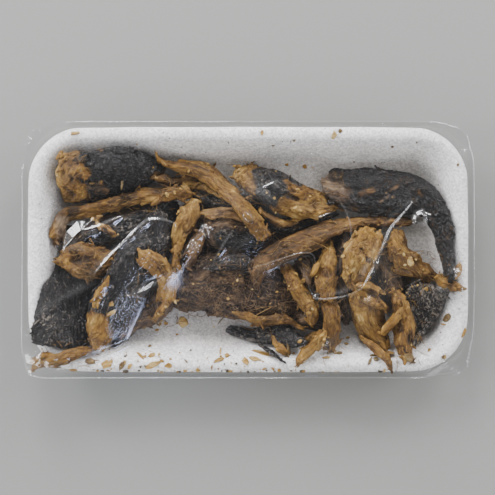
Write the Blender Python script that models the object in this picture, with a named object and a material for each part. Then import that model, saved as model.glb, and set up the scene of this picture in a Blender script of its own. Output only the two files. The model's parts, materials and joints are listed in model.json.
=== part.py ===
"""A retail pack of dried barracuda: an expanded foam tray, the torn pieces of dried fish
heaped on it, and the clear stretched film that wraps both.

The pack lies flat, X along the tray, Y across it, +Z up. The origin is under the middle of
the pack, on the surface that it rests on. Lengths in this file are millimetres until a mesh
is written, in metres. The heap is laid down piece by piece from the lowest to the highest:
each piece bends a little over what it lies on and keeps a hair's gap to it."""

import math
from collections import namedtuple

import bmesh
import bpy
import numpy as np

MM = 0.001
GAP = 0.35

# Foam tray: its plan at the rim, and its section from the edge inwards.
TRAY_LENGTH = 210.0
TRAY_WIDTH = 117.0
TRAY_CORNER = 27.0
# Each point of the section: how far in from the edge, and how high. First from the foot out to
# the edge, underneath, then from the edge over the rolled rim and down the wall to the floor.
LOWER_SECTION = ((15.5, 0.65), (14.4, 1.15), (10.4, 5.65), (5.0, 12.6), (3.2, 13.3), (0.8, 12.7),
                 (0.0, 13.4))
UPPER_SECTION = ((0.0, 15.2), (0.8, 17.0), (2.4, 17.9), (4.4, 18.0), (6.0, 17.4), (7.2, 16.0),
                 (12.6, 9.0), (16.0, 5.3), (18.2, 4.3), (21.0, 4.0))
CORNER_STEPS, SIDE_STEPS = 7, (8, 4)

# What hangs over the edge of the tray stays above this level.
BESIDE_TRAY = 15.5

# Film: how far it stands off the tray, how thick it is drawn, and where it turns under.
FILM_THICKNESS = 0.3
FILM_SIDE = 2.3
FILM_CORNERS = (6.0, 14.0, 14.0, 16.0)
FILM_EDGE_LEVEL = 15.8
FILM_TURN_LEVEL, FILM_TURN_INSET = 12.6, 0.3
FILM_FOOT_INSET = 14.2
FILM_CELLS, STRETCHING_ROUNDS = (26, 15), 600
SEAM_GAP, SEAM_CORNER = (7.0, 4.0), 1.2
SEAM_PLACE = (34.0, 0.0)

# Dried fish: the colours of its golden flesh, its darker flesh and its charred skin.
FLESH, DARK, SKIN = "flesh", "dark flesh", "charred skin"
LOOKS = {
    FLESH: ((0.30, 0.17, 0.06), 0.50),
    DARK: ((0.12, 0.07, 0.035), 0.55),
    SKIN: ((0.030, 0.028, 0.027), 0.42),
}

# One piece of fish: its name, its look, how thick it is, the stations along its middle line,
# each (x, y, width), and a hollow in its top, if it has one: (x, y, radius, depth).
Piece = namedtuple("Piece", "name look height stations hollow", defaults=(None,))

# From the lowest of the heap to the highest.
PIECES = (
    Piece("dark_bed_left", DARK, 4,
          ((-89.5, 9.5, 5.5), (-81, 5, 14), (-71, 0.5, 22), (-62, -1, 24), (-53, -3, 16))),
    Piece("dark_bed_middle", DARK, 3.5,
          ((-32.5, 10, 17), (-26.5, 10, 25.5), (-19.5, 9.5, 29.5), (-12.5, 9, 31.5),
           (-4, 8.5, 30.5), (6.5, 7.5, 23), (17.5, 5, 16), (28, 4.5, 9.5))),
    Piece("dark_bed_right", DARK, 3.5,
          ((24, -6, 11.5), (34, -7, 31.5), (46, -10.5, 34), (57, -11, 37), (66.5, -13, 35),
           (74.5, -14.5, 24))),
    Piece("skin_slab_left", SKIN, 4,
          ((-89, -3.5, 7.5), (-85, -11.5, 22), (-85, -19.5, 28.5), (-87, -28.5, 27.5),
           (-88.5, -38, 28.5), (-89, -46.5, 28.5))),
    Piece("flesh_strip_corner", FLESH, 4,
          ((-102, -55.5, 4), (-99, -53, 8.5), (-95.5, -52, 9), (-91.5, -53, 5), (-88, -51.5, 5.5),
           (-82.5, -49.5, 7), (-78, -48, 5.5), (-72.5, -47.5, 1.5))),
    Piece("skin_inner_left", DARK, 7,
          ((-84.5, 3.5, 6.5), (-77, 6.5, 11.5), (-67.5, 9.5, 15), (-58, 13.5, 17),
           (-48.5, 17, 14), (-39, 19.5, 11.5), (-33, 20, 5))),
    Piece("flake_inner_left", FLESH, 2.5,
          ((-71.5, 11.5, 2), (-67.5, 9.5, 4.5), (-63, 6.5, 2))),
    Piece("chunk_top_left", SKIN, 14,
          ((-90.5, 34, 21), (-84.5, 34.5, 24.5), (-75, 35, 25.5), (-65.5, 37, 24), (-56, 38, 21),
           (-47.5, 38.5, 15), (-40.5, 38.5, 5.5))),
    Piece("fibrous_mass", DARK, 12,
          ((-39, -20.5, 12.5), (-32.5, -19, 24), (-23, -16.5, 27.5), (-13.5, -17, 29.5),
           (-4, -18.5, 31.5), (5.5, -20, 28.5), (15, -23, 24), (23, -27, 16), (27, -29.5, 6.5))),
    Piece("skin_under_middle", SKIN, 5,
          ((-4, 25.5, 5.5), (3, 21, 7.5), (9.5, 14, 6.5), (16.5, 10, 5.5), (25, 11, 5),
           (33.5, 14.5, 4.5), (42, 17.5, 3.5))),
    Piece("dark_filler_right", DARK, 5,
          ((47, 8.5, 5.5), (46, -2.5, 9.5), (46, -13.5, 10.5), (47, -24, 9.5), (48, -34.5, 5))),
    Piece("dark_filler_low", DARK, 7,
          ((23, -32.5, 5.5), (29.5, -34.5, 9.5), (37, -32.5, 11.5), (43.5, -28.5, 6.5))),
    Piece("dark_flesh_right", DARK, 6,
          ((63, 5.5, 5), (65, -2, 10.5), (66.5, -9.5, 13.5), (69.5, -18, 12.5),
           (72.5, -25.5, 9.5))),
    Piece("curl_end_left", FLESH, 12,
          ((-90, -2, 5.5), (-86.5, -3.5, 12.5), (-81, -5, 17), (-74, -6, 17), (-67.5, -6, 12.5),
           (-61.5, -4.5, 5)), hollow=(-80, -3.5, 3.4, 7)),
    Piece("skin_tip_low", SKIN, 3,
          ((-65, -46.5, 3), (-61.5, -43, 5), (-57.5, -40.5, 4), (-53.5, -38, 1.5))),
    Piece("flesh_fringe_low", DARK, 5,
          ((-63, -40.5, 6), (-57, -35.5, 10), (-51, -30.5, 14), (-44, -25.5, 18),
           (-38, -21.5, 12.5))),
    Piece("skin_chunk_diagonal", SKIN, 14,
          ((-39, 16, 12.5), (-43.5, 9.5, 20), (-48.5, 1.5, 24.5), (-53.5, -7, 26),
           (-59, -15.5, 24.5), (-64, -24, 21.5), (-69, -32.5, 17), (-71, -40, 14),
           (-71, -47, 9.5))),
    Piece("flesh_edge_diagonal", FLESH, 3,
          ((-66, -12.5, 2), (-68, -17, 4.5), (-71, -21.5, 4), (-73, -27.5, 2))),
    Piece("flesh_patch_diagonal", FLESH, 5,
          ((-51.5, -1.5, 7.5), (-46.5, -5, 11.5), (-41.5, -9, 10.5), (-38, -14.5, 10.5),
           (-38.5, -20.5, 9.5), (-40, -26, 4.5))),
    Piece("flesh_shred_low", FLESH, 2.5,
          ((-39, -25, 3.5), (-42, -29, 3.5), (-45, -34.5, 1.5))),
    Piece("strand_under_arch", DARK, 3.5,
          ((-44.5, 34, 4.5), (-40, 34, 7), (-35.5, 31.5, 4), (-30, 34, 4), (-24, 35, 4.5),
           (-18.5, 32.5, 2.5))),
    Piece("skin_under_arch", SKIN, 3.5,
          ((-30.5, 28, 3.5), (-24.5, 25, 6), (-19, 23, 6.5), (-13, 22, 5.5), (-6.5, 21, 2.5))),
    Piece("flake_under_arch", FLESH, 2,
          ((-30.5, 30, 1.5), (-26.5, 31, 3.5), (-22, 30.5, 4.5), (-17, 28.5, 4.5),
           (-12.5, 24.5, 3))),
    Piece("centre_chunk", DARK, 9,
          ((-21.5, 11, 13.5), (-15.5, 10, 19), (-9, 9.5, 20.5), (-2.5, 8.5, 19), (4, 6.5, 13.5),
           (9, 5, 5))),
    Piece("centre_lobe", DARK, 6,
          ((-23, 8.5, 5.5), (-25, 2.5, 8.5), (-27.5, -3, 8), (-29.5, -8.5, 4))),
    Piece("char_lump_centre", SKIN, 5,
          ((-16.5, -8.5, 5), (-10, -6, 8), (-3, -6, 8.5), (3, -7, 4))),
    Piece("centre_band", FLESH, 3,
          ((-21, 17.5, 4), (-14.5, 17.5, 6), (-8, 17.5, 6), (-1.5, 15.5, 6.5), (5, 11, 4))),
    Piece("strip_upper_left", FLESH, 7,
          ((-90.5, 4, 5), (-90.5, 10.5, 6.5), (-88.5, 16.5, 7.5), (-82, 17.5, 7), (-75, 19, 8),
           (-68, 21.5, 7.5), (-61, 23.5, 8), (-53.5, 25, 6.5), (-46.5, 26, 7), (-39.5, 26.5, 7.5),
           (-33, 26.5, 6), (-25.5, 27, 1.5))),
    Piece("arch_strip", FLESH, 6,
          ((-43, 43.5, 1.5), (-38, 40.5, 4), (-32.5, 39.5, 6), (-26.5, 39, 8), (-21, 37.5, 9.5),
           (-15.5, 33, 8.5), (-10.5, 28.5, 8), (-5, 22.5, 8.5), (0, 16.5, 9.5), (5, 10, 8.5),
           (8, 4.5, 4))),
    Piece("strip_centre_left", FLESH, 6,
          ((-25.5, 23, 6.5), (-27, 18.5, 11.5), (-30, 13, 10.5), (-33, 8, 8), (-34, 2.5, 5),
           (-34.5, -2.5, 4.5), (-34.5, -7.5, 3))),
    Piece("stick_left", FLESH, 7,
          ((17.5, -6, 4), (19.5, -10.5, 7.5), (22.5, -16, 9), (26, -21.5, 9.5), (29.5, -27, 8.5),
           (31, -31.5, 6), (30, -36, 2.5))),
    Piece("stick_behind", DARK, 6,
          ((24, -3, 6.5), (26.5, -8, 7.5), (28.5, -12.5, 6), (30, -18, 3))),
    Piece("column_low", DARK, 7,
          ((39.5, -23, 5.5), (39.5, -28.5, 8.5), (39.5, -34, 9), (40, -39.5, 8.5),
           (39.5, -45, 7.5), (38.5, -49, 4))),
    Piece("wedge_upright", FLESH, 8,
          ((39.5, 4, 3), (39, 0, 6), (38, -5, 9), (37, -10, 11.5), (37, -16, 12.5),
           (38, -20.5, 9.5), (39, -23.5, 4.5))),
    Piece("flake_upright", FLESH, 2.5,
          ((33.5, -5.5, 1.5), (32.5, -9, 3), (30, -13, 1.5))),
    Piece("flesh_band_low", FLESH, 3.5,
          ((26.5, -43.5, 3), (31, -41.5, 4.5), (35.5, -39.5, 2.5))),
    Piece("flesh_tip_low", FLESH, 4,
          ((23, -55.5, 1.5), (25, -51.5, 5), (29, -47.5, 6.5), (33, -44, 6), (36, -40.5, 3))),
    Piece("fin_skin", SKIN, 4,
          ((-11.5, -38, 4), (-5.5, -39.5, 4.5), (0.5, -41, 5), (5.5, -41.5, 7),
           (10.5, -40.5, 11.5), (15.5, -40, 12), (20.5, -42, 11.5), (24.5, -44, 7.5),
           (28, -44, 2.5))),
    Piece("flesh_edge_low", FLESH, 4.5,
          ((-4, -30, 2.5), (1, -33, 5.5), (5, -34.5, 7), (10, -33.5, 5), (15.5, -33.5, 4.5),
           (21, -34.5, 5), (25, -37, 3))),
    Piece("fin_tail", SKIN, 1.8,
          ((4.5, -44.5, 1.5), (9, -47.5, 2.5), (14, -51, 2), (18, -54, 1))),
    Piece("fin_shred", FLESH, 2,
          ((11.5, -41, 1.5), (13.5, -45.5, 3), (16, -47.5, 4), (18.5, -49, 2))),
    Piece("sliver_top_middle", FLESH, 3,
          ((6.5, 18.5, 2), (11.5, 15, 4), (17.5, 12, 4), (25, 13.5, 1.5))),
    Piece("chunk_top_middle", FLESH, 13,
          ((-6, 37.5, 5.5), (-1, 35, 12), (4.5, 32, 17.5), (9.5, 29, 21), (15, 26.5, 21.5),
           (21, 24, 19), (26.5, 22.5, 16), (32.5, 22, 13.5), (37.5, 22, 10.5), (41.5, 22, 5))),
    Piece("long_strip", FLESH, 8,
          ((4, -18, 1.5), (4.5, -12.5, 6), (6.5, -7.5, 10.5), (12, -3, 12), (19, 0, 13),
           (26, 3, 12), (33.5, 7, 10), (41.5, 10, 8), (49, 12.5, 6), (57.5, 13, 5), (66, 13.5, 5),
           (74.5, 13.5, 4.5), (81, 13.5, 2))),
    Piece("flesh_right", FLESH, 8,
          ((73, 9.5, 7.5), (71, 3, 9.5), (72.5, -3, 12.5), (77.5, -8.5, 13.5), (83.5, -11, 7),
           (90, -13, 3.5))),
    Piece("flesh_right_edge", FLESH, 5,
          ((90, -13, 4), (94, -16, 7), (98.5, -18, 5), (102, -18.5, 2.5))),
    Piece("flake_right_edge", FLESH, 2.5,
          ((101, -6.5, 2.5), (100, -9.5, 4.5), (98.5, -13.5, 2))),
    Piece("skin_hook_right", SKIN, 8,
          ((36, 35, 9.5), (42, 31, 16), (50, 28.5, 22), (58.5, 28, 23), (67, 27.5, 22),
           (74.5, 27, 22), (81.5, 26, 20), (87.5, 21.5, 14.5), (91, 15.5, 10.5), (93, 8, 8.5),
           (94.5, 0, 7.5), (95.5, -7, 6), (96, -13.5, 2))),
    Piece("skin_low_right", SKIN, 5,
          ((85.5, -16.5, 27.5), (84, -22, 25.5), (83, -28, 20), (82.5, -33.5, 13.5),
           (81, -39.5, 8), (78, -46.5, 3))),
    Piece("flesh_low_right", FLESH, 8,
          ((70.5, -20, 5.5), (73, -27.5, 8), (75, -33, 9.5), (74.5, -38.5, 11.5),
           (73.5, -44.5, 9.5), (75, -49, 6.5), (76, -53, 4.5))),
    Piece("lump_right_upper", FLESH, 11,
          ((61.5, 8.5, 9.5), (57.5, 3, 17), (53.5, -2.5, 16), (52, -8.5, 14.5), (52, -14, 13.5),
           (54, -19, 9.5))),
    Piece("plate_right_lower", FLESH, 8,
          ((53.5, -18.5, 10.5), (55, -24, 14), (57, -30, 16.5), (59.5, -36.5, 14.5),
           (62.5, -42.5, 10), (66.5, -48.5, 3))),
    Piece("tail_right_lower", FLESH, 3,
          ((55, -42, 2.5), (58.5, -45.5, 5), (62, -48.5, 5), (65.5, -52, 4.5), (67, -54.5, 2))),
    Piece("wedge_right", FLESH, 4,
          ((71.5, -29.5, 1.5), (70, -33, 5), (67, -37, 5.5), (63.5, -39.5, 3))),
    Piece("flap_right_upper", FLESH, 3,
          ((51, -17, 3), (56, -17.5, 5), (61, -19, 4.5), (65, -20.5, 1.5))),
    Piece("flap_right_lower", FLESH, 3,
          ((54.5, -23.5, 3), (60, -25, 5), (64.5, -27, 4.5), (68, -29, 1.5))),
)

# How long a stretch of a piece one ring stands for, and the fewest and most rings.
RING_STEP, FEWEST_RINGS, MOST_RINGS = 5.0, 5, 16
# Across a piece: where its surface has points, from its left edge (-1) to its right (+1).
BROAD, NARROW = 15.0, 7.0
ACROSS = {"broad": (-1, -0.86, -0.55, -0.18, 0.18, 0.55, 0.86, 1),
          "middling": (-1, -0.75, -0.25, 0.25, 0.75, 1), "narrow": (-1, -0.55, 0, 0.55, 1)}
# In a bend its inner edge stays clear of the bend's centre.
BEND_SHARE = 0.8
# How its top rounds off to its edge, the height of that edge, and how uneven it is.
ROUND_OFF, DOME_POWER = 2.6, 0.6
EDGE_SHARE = 0.3
LEAST_EDGE, LEAST_CROWN = 0.5, 0.65
LEAST_WIDTH = 0.8
RAGGED_EDGE = 0.07
LUMPY_TOP, LENGTHWISE_RIDGES = 0.13, 0.10
# How thick its ends are beside its middle, and how its thickness goes with its width.
END_SHARE = 0.45
LEAST_SWELL, SWELL_POWER = 0.35, 0.6
# How far the corners of a broken end draw back and how jagged it is, as shares of a ring step.
END_ROUND, END_JAG = 0.55, 0.25
# How often its underside is evened out: before it is lifted clear of what it lies on, and after.
STIFFNESS, EASING = 6, 3
LIFTING_ROUNDS = 60
# A piece butts against a neighbour that stands this much higher than its own bed, by drawing
# its edge in step by step, rather than climb it.
CLIMB_LIMIT = 6.0
DRAW_IN_STEP, MOST_DRAWN_IN = 0.07, 6

# The heights already taken are kept on a grid of this pitch over the pack.
CELL = 1.0
GRID_HALF = (112, 66)


def clear_scene():
    """Removes the objects of an earlier run."""
    for thing in list(bpy.data.objects):
        bpy.data.objects.remove(thing)


def surface_material(name, colour, roughness, alpha=1.0):
    """A Principled material of one colour."""
    made = bpy.data.materials.new(name)
    made.use_nodes = True
    shader = made.node_tree.nodes["Principled BSDF"]
    shader.inputs["Base Color"].default_value = (*colour, 1.0)
    shader.inputs["Roughness"].default_value = roughness
    shader.inputs["Metallic"].default_value = 0.0
    shader.inputs["Alpha"].default_value = alpha
    return made


def add_object(name, points, faces, material):
    """One closed solid from its points, in millimetres, and its faces."""
    shape = bmesh.new()
    corners = [shape.verts.new((x * MM, y * MM, z * MM)) for x, y, z in points]
    for face in faces:
        shape.faces.new([corners[i] for i in face]).smooth = True
    mesh = bpy.data.meshes.new(name)
    shape.to_mesh(mesh)
    shape.free()
    mesh.set_sharp_from_angle(angle=math.radians(50))
    mesh.materials.append(material)
    thing = bpy.data.objects.new(name, mesh)
    bpy.context.scene.collection.objects.link(thing)
    return thing


def band(first, second):
    """The quads between two closed rings of point numbers."""
    count = len(first)
    return [(first[i], second[i], second[(i + 1) % count], first[(i + 1) % count])
            for i in range(count)]


def depth_inside(x, y, length, width, corner):
    """How far a place lies inside a rectangle with round corners, negative outside it."""
    over_x = np.abs(x) - (length / 2 - corner)
    over_y = np.abs(y) - (width / 2 - corner)
    outside = np.hypot(np.maximum(over_x, 0), np.maximum(over_y, 0))
    return corner - outside - np.minimum(np.maximum(over_x, over_y), 0)


def rounded_ring(length, width, corner, height):
    """Points round a rectangle with round corners, anticlockwise from above."""
    flat_x, flat_y = length / 2 - corner, width / 2 - corner
    centres = ((flat_x, flat_y), (-flat_x, flat_y), (-flat_x, -flat_y), (flat_x, -flat_y))
    points = []
    for quarter, (x, y) in enumerate(centres):
        next_x, next_y = centres[(quarter + 1) % 4]
        for i in range(CORNER_STEPS + 1):
            turn = math.radians(90 * (quarter + i / CORNER_STEPS))
            points.append((x + corner * math.cos(turn), y + corner * math.sin(turn), height))
        start_x, start_y, _ = points[-1]
        steps = SIDE_STEPS[quarter % 2]
        points += [(start_x + (next_x - x) * i / steps, start_y + (next_y - y) * i / steps, height)
                   for i in range(1, steps)]
    return points


def build_tray():
    """The foam tray: one thick sheet with a flat floor, sloping walls and a rolled rim."""
    points, rings = [], []
    for inset, height in LOWER_SECTION + UPPER_SECTION:
        ring = rounded_ring(TRAY_LENGTH - 2 * inset, TRAY_WIDTH - 2 * inset, TRAY_CORNER - inset,
                            height)
        rings.append(range(len(points), len(points) + len(ring)))
        points += ring
    faces = [face for lower, upper in zip(rings, rings[1:]) for face in band(lower, upper)]
    faces = [face[::-1] for face in faces]
    faces += [tuple(rings[0])[::-1], tuple(rings[-1])]
    foam = surface_material("white_foam", (0.80, 0.80, 0.78), 0.75)
    return add_object("foam_tray", points, faces, foam)


class Heap:
    """The heights taken so far, on a grid over the pack."""

    def __init__(self):
        self.shape = (2 * GRID_HALF[0] + 1, 2 * GRID_HALF[1] + 1)
        x = (np.arange(self.shape[0]) - GRID_HALF[0]) * CELL
        y = (np.arange(self.shape[1]) - GRID_HALF[1]) * CELL
        self.x, self.y = np.meshgrid(x, y, indexing="ij")
        inset = depth_inside(self.x, self.y, TRAY_LENGTH, TRAY_WIDTH, TRAY_CORNER)
        section = np.array(UPPER_SECTION)
        on_tray = np.interp(inset, section[:, 0], section[:, 1])
        self.height = np.where(inset < 0, BESIDE_TRAY, on_tray)
        self.fish = np.zeros(self.shape)

    def crest(self, field):
        """A field of heights, each raised to the highest of its eight neighbours."""
        high = field
        for axis in (0, 1):
            padded = np.pad(high, [(1, 1) if a == axis else (0, 0) for a in (0, 1)], mode="edge")
            parts = [np.take(padded, np.arange(high.shape[axis]) + shift, axis) for shift in range(3)]
            high = np.maximum.reduce(parts)
        return high

    def look_up(self, field, x, y):
        """A field of the grid at given places, between its nodes."""
        fx = np.clip(x / CELL + GRID_HALF[0], 0, self.shape[0] - 1.001)
        fy = np.clip(y / CELL + GRID_HALF[1], 0, self.shape[1] - 1.001)
        i, j = fx.astype(int), fy.astype(int)
        u, v = fx - i, fy - j
        return ((1 - u) * (1 - v) * field[i, j] + u * (1 - v) * field[i + 1, j]
                + (1 - u) * v * field[i, j + 1] + u * v * field[i + 1, j + 1])

    def under(self, x, y, triangles):
        """The grid's nodes under each triangle: (node, triangle, the three corner weights)."""
        found = []
        for number, (a, b, c) in enumerate(triangles):
            low_i = max(int(math.ceil(min(x[a], x[b], x[c]) / CELL)) + GRID_HALF[0], 0)
            top_i = min(int(math.floor(max(x[a], x[b], x[c]) / CELL)) + GRID_HALF[0], self.shape[0] - 1)
            low_j = max(int(math.ceil(min(y[a], y[b], y[c]) / CELL)) + GRID_HALF[1], 0)
            top_j = min(int(math.floor(max(y[a], y[b], y[c]) / CELL)) + GRID_HALF[1], self.shape[1] - 1)
            area = (x[b] - x[a]) * (y[c] - y[a]) - (x[c] - x[a]) * (y[b] - y[a])
            if low_i > top_i or low_j > top_j or abs(area) < 1e-9:
                continue
            block = (slice(low_i, top_i + 1), slice(low_j, top_j + 1))
            px, py = self.x[block] - x[a], self.y[block] - y[a]
            second = (px * (y[c] - y[a]) - (x[c] - x[a]) * py) / area
            third = ((x[b] - x[a]) * py - px * (y[b] - y[a])) / area
            inside = (second >= 0) & (third >= 0) & (second + third <= 1)
            i, j = np.nonzero(inside)
            weights = np.stack([1 - second - third, second, third], -1)[i, j]
            nodes = (i + low_i) * self.shape[1] + j + low_j
            found.append(np.column_stack([nodes, np.full(len(i), number), weights]))
        rows = np.concatenate(found) if found else np.zeros((0, 5))
        return rows[:, 0].astype(int), rows[:, 1].astype(int), rows[:, 2:]

    def lift_clear(self, x, y, z, triangles):
        """Raises a sheet's points until its triangles clear everything laid so far."""
        crest = self.crest(self.height)
        corners = np.array(triangles)
        nodes, owners, weights = self.under(x, y, triangles)
        floor = crest.ravel()[nodes] + GAP
        own_floor = self.look_up(crest, x, y) + GAP
        z = np.maximum(z, own_floor)
        for _ in range(LIFTING_ROUNDS):
            short = floor - (z[corners[owners]] * weights).sum(1)
            if not len(short) or short.max() < 1e-4:
                break
            share = short[:, None] * weights / (weights ** 2).sum(1, keepdims=True)
            rise = np.zeros_like(z)
            np.maximum.at(rise, corners[owners].ravel(), np.maximum(share, 0).ravel())
            z = z + rise
        return z

    def lay(self, x, y, z, triangles):
        """Marks a sheet's heights as taken."""
        corners = np.array(triangles)
        nodes, owners, weights = self.under(x, y, triangles)
        i = np.clip(np.rint(x / CELL).astype(int) + GRID_HALF[0], 0, self.shape[0] - 1)
        j = np.clip(np.rint(y / CELL).astype(int) + GRID_HALF[1], 0, self.shape[1] - 1)
        flat = self.fish.ravel()
        np.maximum.at(flat, nodes, (z[corners[owners]] * weights).sum(1))
        np.maximum.at(flat, i * self.shape[1] + j, z)
        self.fish = flat.reshape(self.shape)
        self.height = np.maximum(self.height, self.fish)


def smooth_stations(stations):
    """Rings evenly along a smooth curve through the stations: their centres and widths."""
    given = np.array(stations, dtype=float)
    reach = np.concatenate([[0], np.cumsum(np.hypot(*np.diff(given[:, :2], axis=0).T))])
    count = int(np.clip(round(reach[-1] / RING_STEP) + 1, FEWEST_RINGS, MOST_RINGS))
    padded = np.vstack([2 * given[0] - given[1], given, 2 * given[-1] - given[-2]])
    rings = []
    for place in np.linspace(0, reach[-1], count):
        i = min(int(np.searchsorted(reach, place, side="right")) - 1, len(given) - 2)
        t = (place - reach[i]) / (reach[i + 1] - reach[i])
        a, b, c, d = padded[i:i + 4]
        rings.append(0.5 * (2 * b + (c - a) * t + (2 * a - 5 * b + 4 * c - d) * t ** 2
                            + (3 * b - a - 3 * c + d) * t ** 3))
    return np.array(rings)


def piece_plan(piece):
    """A piece seen from above: for each ring its centre, the way to its left, and how far its
    two ragged edges lie from the centre."""
    rings = smooth_stations(piece.stations)
    draw = np.random.default_rng(sum(ord(letter) * (i + 1) for i, letter in enumerate(piece.name)))
    ahead = np.gradient(rings[:, :2], axis=0)
    ahead /= np.hypot(*ahead.T)[:, None]
    left = np.column_stack([-ahead[:, 1], ahead[:, 0]])
    half = np.maximum(rings[:, 2], LEAST_WIDTH) / 2
    ragged = 1 + draw.uniform(-RAGGED_EDGE, RAGGED_EDGE, (len(rings), 2))
    half = half[:, None] * ragged
    step = np.diff(rings[:, :2], axis=0)
    closing = (np.diff(left, axis=0) * step).sum(1) / (step ** 2).sum(1)
    for side, way in ((0, 1), (1, -1)):
        most = BEND_SHARE / np.maximum(-way * closing, 1e-6)
        half[:-1, side] = np.minimum(half[:-1, side], most)
        half[1:, side] = np.minimum(half[1:, side], most)
    return rings[:, :2], left, half, draw


def draw_in(centre, left, half, heap):
    """Narrows a plan where its edge would climb a much higher neighbour."""
    crest = heap.crest(heap.fish)
    for side, way in ((0, 1.0), (1, -1.0)):
        for _ in range(MOST_DRAWN_IN):
            reach = way * half[:, side:side + 1] * np.array([0.0, 0.4, 1.0])
            place = centre[:, None, :] + left[:, None, :] * reach[:, :, None]
            bed = heap.look_up(heap.height, place[:, :2, 0], place[:, :2, 1]).mean(1)
            edge = heap.look_up(crest, place[:, 2, 0], place[:, 2, 1])
            half[:, side] *= np.where(edge > bed + CLIMB_LIMIT, 1 - DRAW_IN_STEP, 1)
    half[1:-1] = (half[:-2] + 2 * half[1:-1] + half[2:]) / 4
    return half


def sheet_triangles(rows, columns, backwards=False):
    """Triangles of a sheet of rows by columns points, facing up, or down if backwards."""
    triangles = []
    for i in range(rows - 1):
        for j in range(columns - 1):
            a, b = i * columns + j, i * columns + j + 1
            c, d = b + columns, a + columns
            triangles += [(a, b, c), (a, c, d)]
    return [t[::-1] for t in triangles] if backwards else triangles


def spread_over(field):
    """Each height of a sheet averaged with its neighbours along and across it."""
    padded = np.pad(field, 1, mode="edge")
    return (padded[:-2, 1:-1] + padded[2:, 1:-1] + padded[1:-1, :-2] + padded[1:-1, 2:]) / 4


def build_piece(piece, heap):
    """One piece of dried fish, lying on what the heap already holds."""
    centre, left, half, draw = piece_plan(piece)
    half = draw_in(centre, left, half, heap)
    widest = max(width for _, _, width in piece.stations)
    size = "broad" if widest > BROAD else "middling" if widest > NARROW else "narrow"
    side = np.array(ACROSS[size])
    rows, columns = len(centre), len(side)

    # The plan. The two end rings are rounded at their corners and jagged, as a torn end is.
    reach = np.where(side < 0, -side * half[:, :1], -side * half[:, 1:])
    plan = centre[:, None, :] + left[:, None, :] * reach[:, :, None]
    for end, inner in ((0, 1), (-1, -2)):
        jag = draw.uniform(-END_JAG, END_JAG, columns)
        share = END_ROUND * np.abs(side) ** 3 + jag
        plan[end] += (plan[inner] - plan[end]) * share[:, None]
    x, y = plan[..., 0], plan[..., 1]

    # The underside: first where it would rest, then stiffened, then lifted clear.
    rest = heap.look_up(heap.height, x, y)
    bottom = rest.copy()
    for _ in range(STIFFNESS):
        bottom = np.maximum(rest, spread_over(bottom))
    sheet = sheet_triangles(rows, columns)
    bottom = heap.lift_clear(x.ravel(), y.ravel(), bottom.ravel() + GAP, sheet)
    bottom = bottom.reshape(rows, columns)
    for _ in range(EASING):
        bottom = np.maximum(bottom, spread_over(bottom))

    # The top: the underside's lie, carried up by the piece's rounded, lumpy thickness.
    ends = np.linspace(-1, 1, rows)
    swell = END_SHARE + (1 - END_SHARE) * np.sqrt(1 - np.abs(ends) ** 3)
    widths = half.sum(1)
    swell *= np.clip(widths / widths.max(), LEAST_SWELL, 1) ** SWELL_POWER
    thick = piece.height * swell[:, None]
    dome = (1 - np.abs(side) ** ROUND_OFF) ** DOME_POWER
    lumps = 1 + draw.uniform(-LUMPY_TOP, LUMPY_TOP, (rows, columns))
    lumps += draw.uniform(-LENGTHWISE_RIDGES, LENGTHWISE_RIDGES, columns)
    body = thick * dome * lumps
    if piece.hollow:
        hollow_x, hollow_y, radius, depth = piece.hollow
        body -= depth * np.exp(-(np.hypot(x - hollow_x, y - hollow_y) / radius) ** 2)
    body = np.maximum(body, LEAST_CROWN)
    body[:, [0, -1]] = np.maximum(EDGE_SHARE * thick, LEAST_EDGE)
    crown = bottom + body

    # The solid: the top sheet, the underside below it, and a wall at each broken end.
    top_points = np.stack([x, y, crown], -1).reshape(-1, 3)
    under_points = np.stack([x, y, bottom], -1)[:, 1:-1].reshape(-1, 3)

    def under(triangle):
        """The same triangle of the underside, which shares the top sheet's two long edges."""
        numbers = []
        for n in triangle:
            i, j = divmod(n, columns)
            inside = 0 < j < columns - 1
            numbers.append(rows * columns + i * (columns - 2) + j - 1 if inside else n)
        return tuple(numbers)

    faces = list(sheet)
    faces += [under(triangle)[::-1] for triangle in sheet]
    for start, turn in ((0, 1), ((rows - 1) * columns, -1)):
        for j in range(columns - 1):
            a, b = start + j, start + j + 1
            low_a, low_b = under((a, b))
            for triangle in ((a, low_a, low_b), (a, low_b, b)):
                if len(set(triangle)) == 3:
                    faces.append(triangle[::turn])

    heap.lay(x.ravel(), y.ravel(), crown.ravel(), sheet)
    colour, roughness = LOOKS[piece.look]
    material = surface_material(f"{piece.name}_surface", colour, roughness)
    return add_object(piece.name, np.vstack([top_points, under_points]), faces, material)


def film_plan(u, v, half_x, half_y, corners):
    """Maps the square of side 2 to a rectangle whose corners are rounded one by one: the lower
    left first, then anticlockwise."""
    x, y = u * half_x, v * half_y
    for corner, (side_x, side_y) in zip(corners, ((-1, -1), (1, -1), (1, 1), (-1, 1))):
        over_x = (x * side_x - (half_x - corner)) / corner
        over_y = (y * side_y - (half_y - corner)) / corner
        inside = (over_x > 0) & (over_y > 0)
        long = np.hypot(over_x, over_y)
        pull = np.where(inside, np.maximum(over_x, over_y) / np.where(long > 0, long, 1), 1)
        x = np.where(inside, side_x * (half_x - corner + corner * over_x * pull), x)
        y = np.where(inside, side_y * (half_y - corner + corner * over_y * pull), y)
    return x, y


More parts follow.
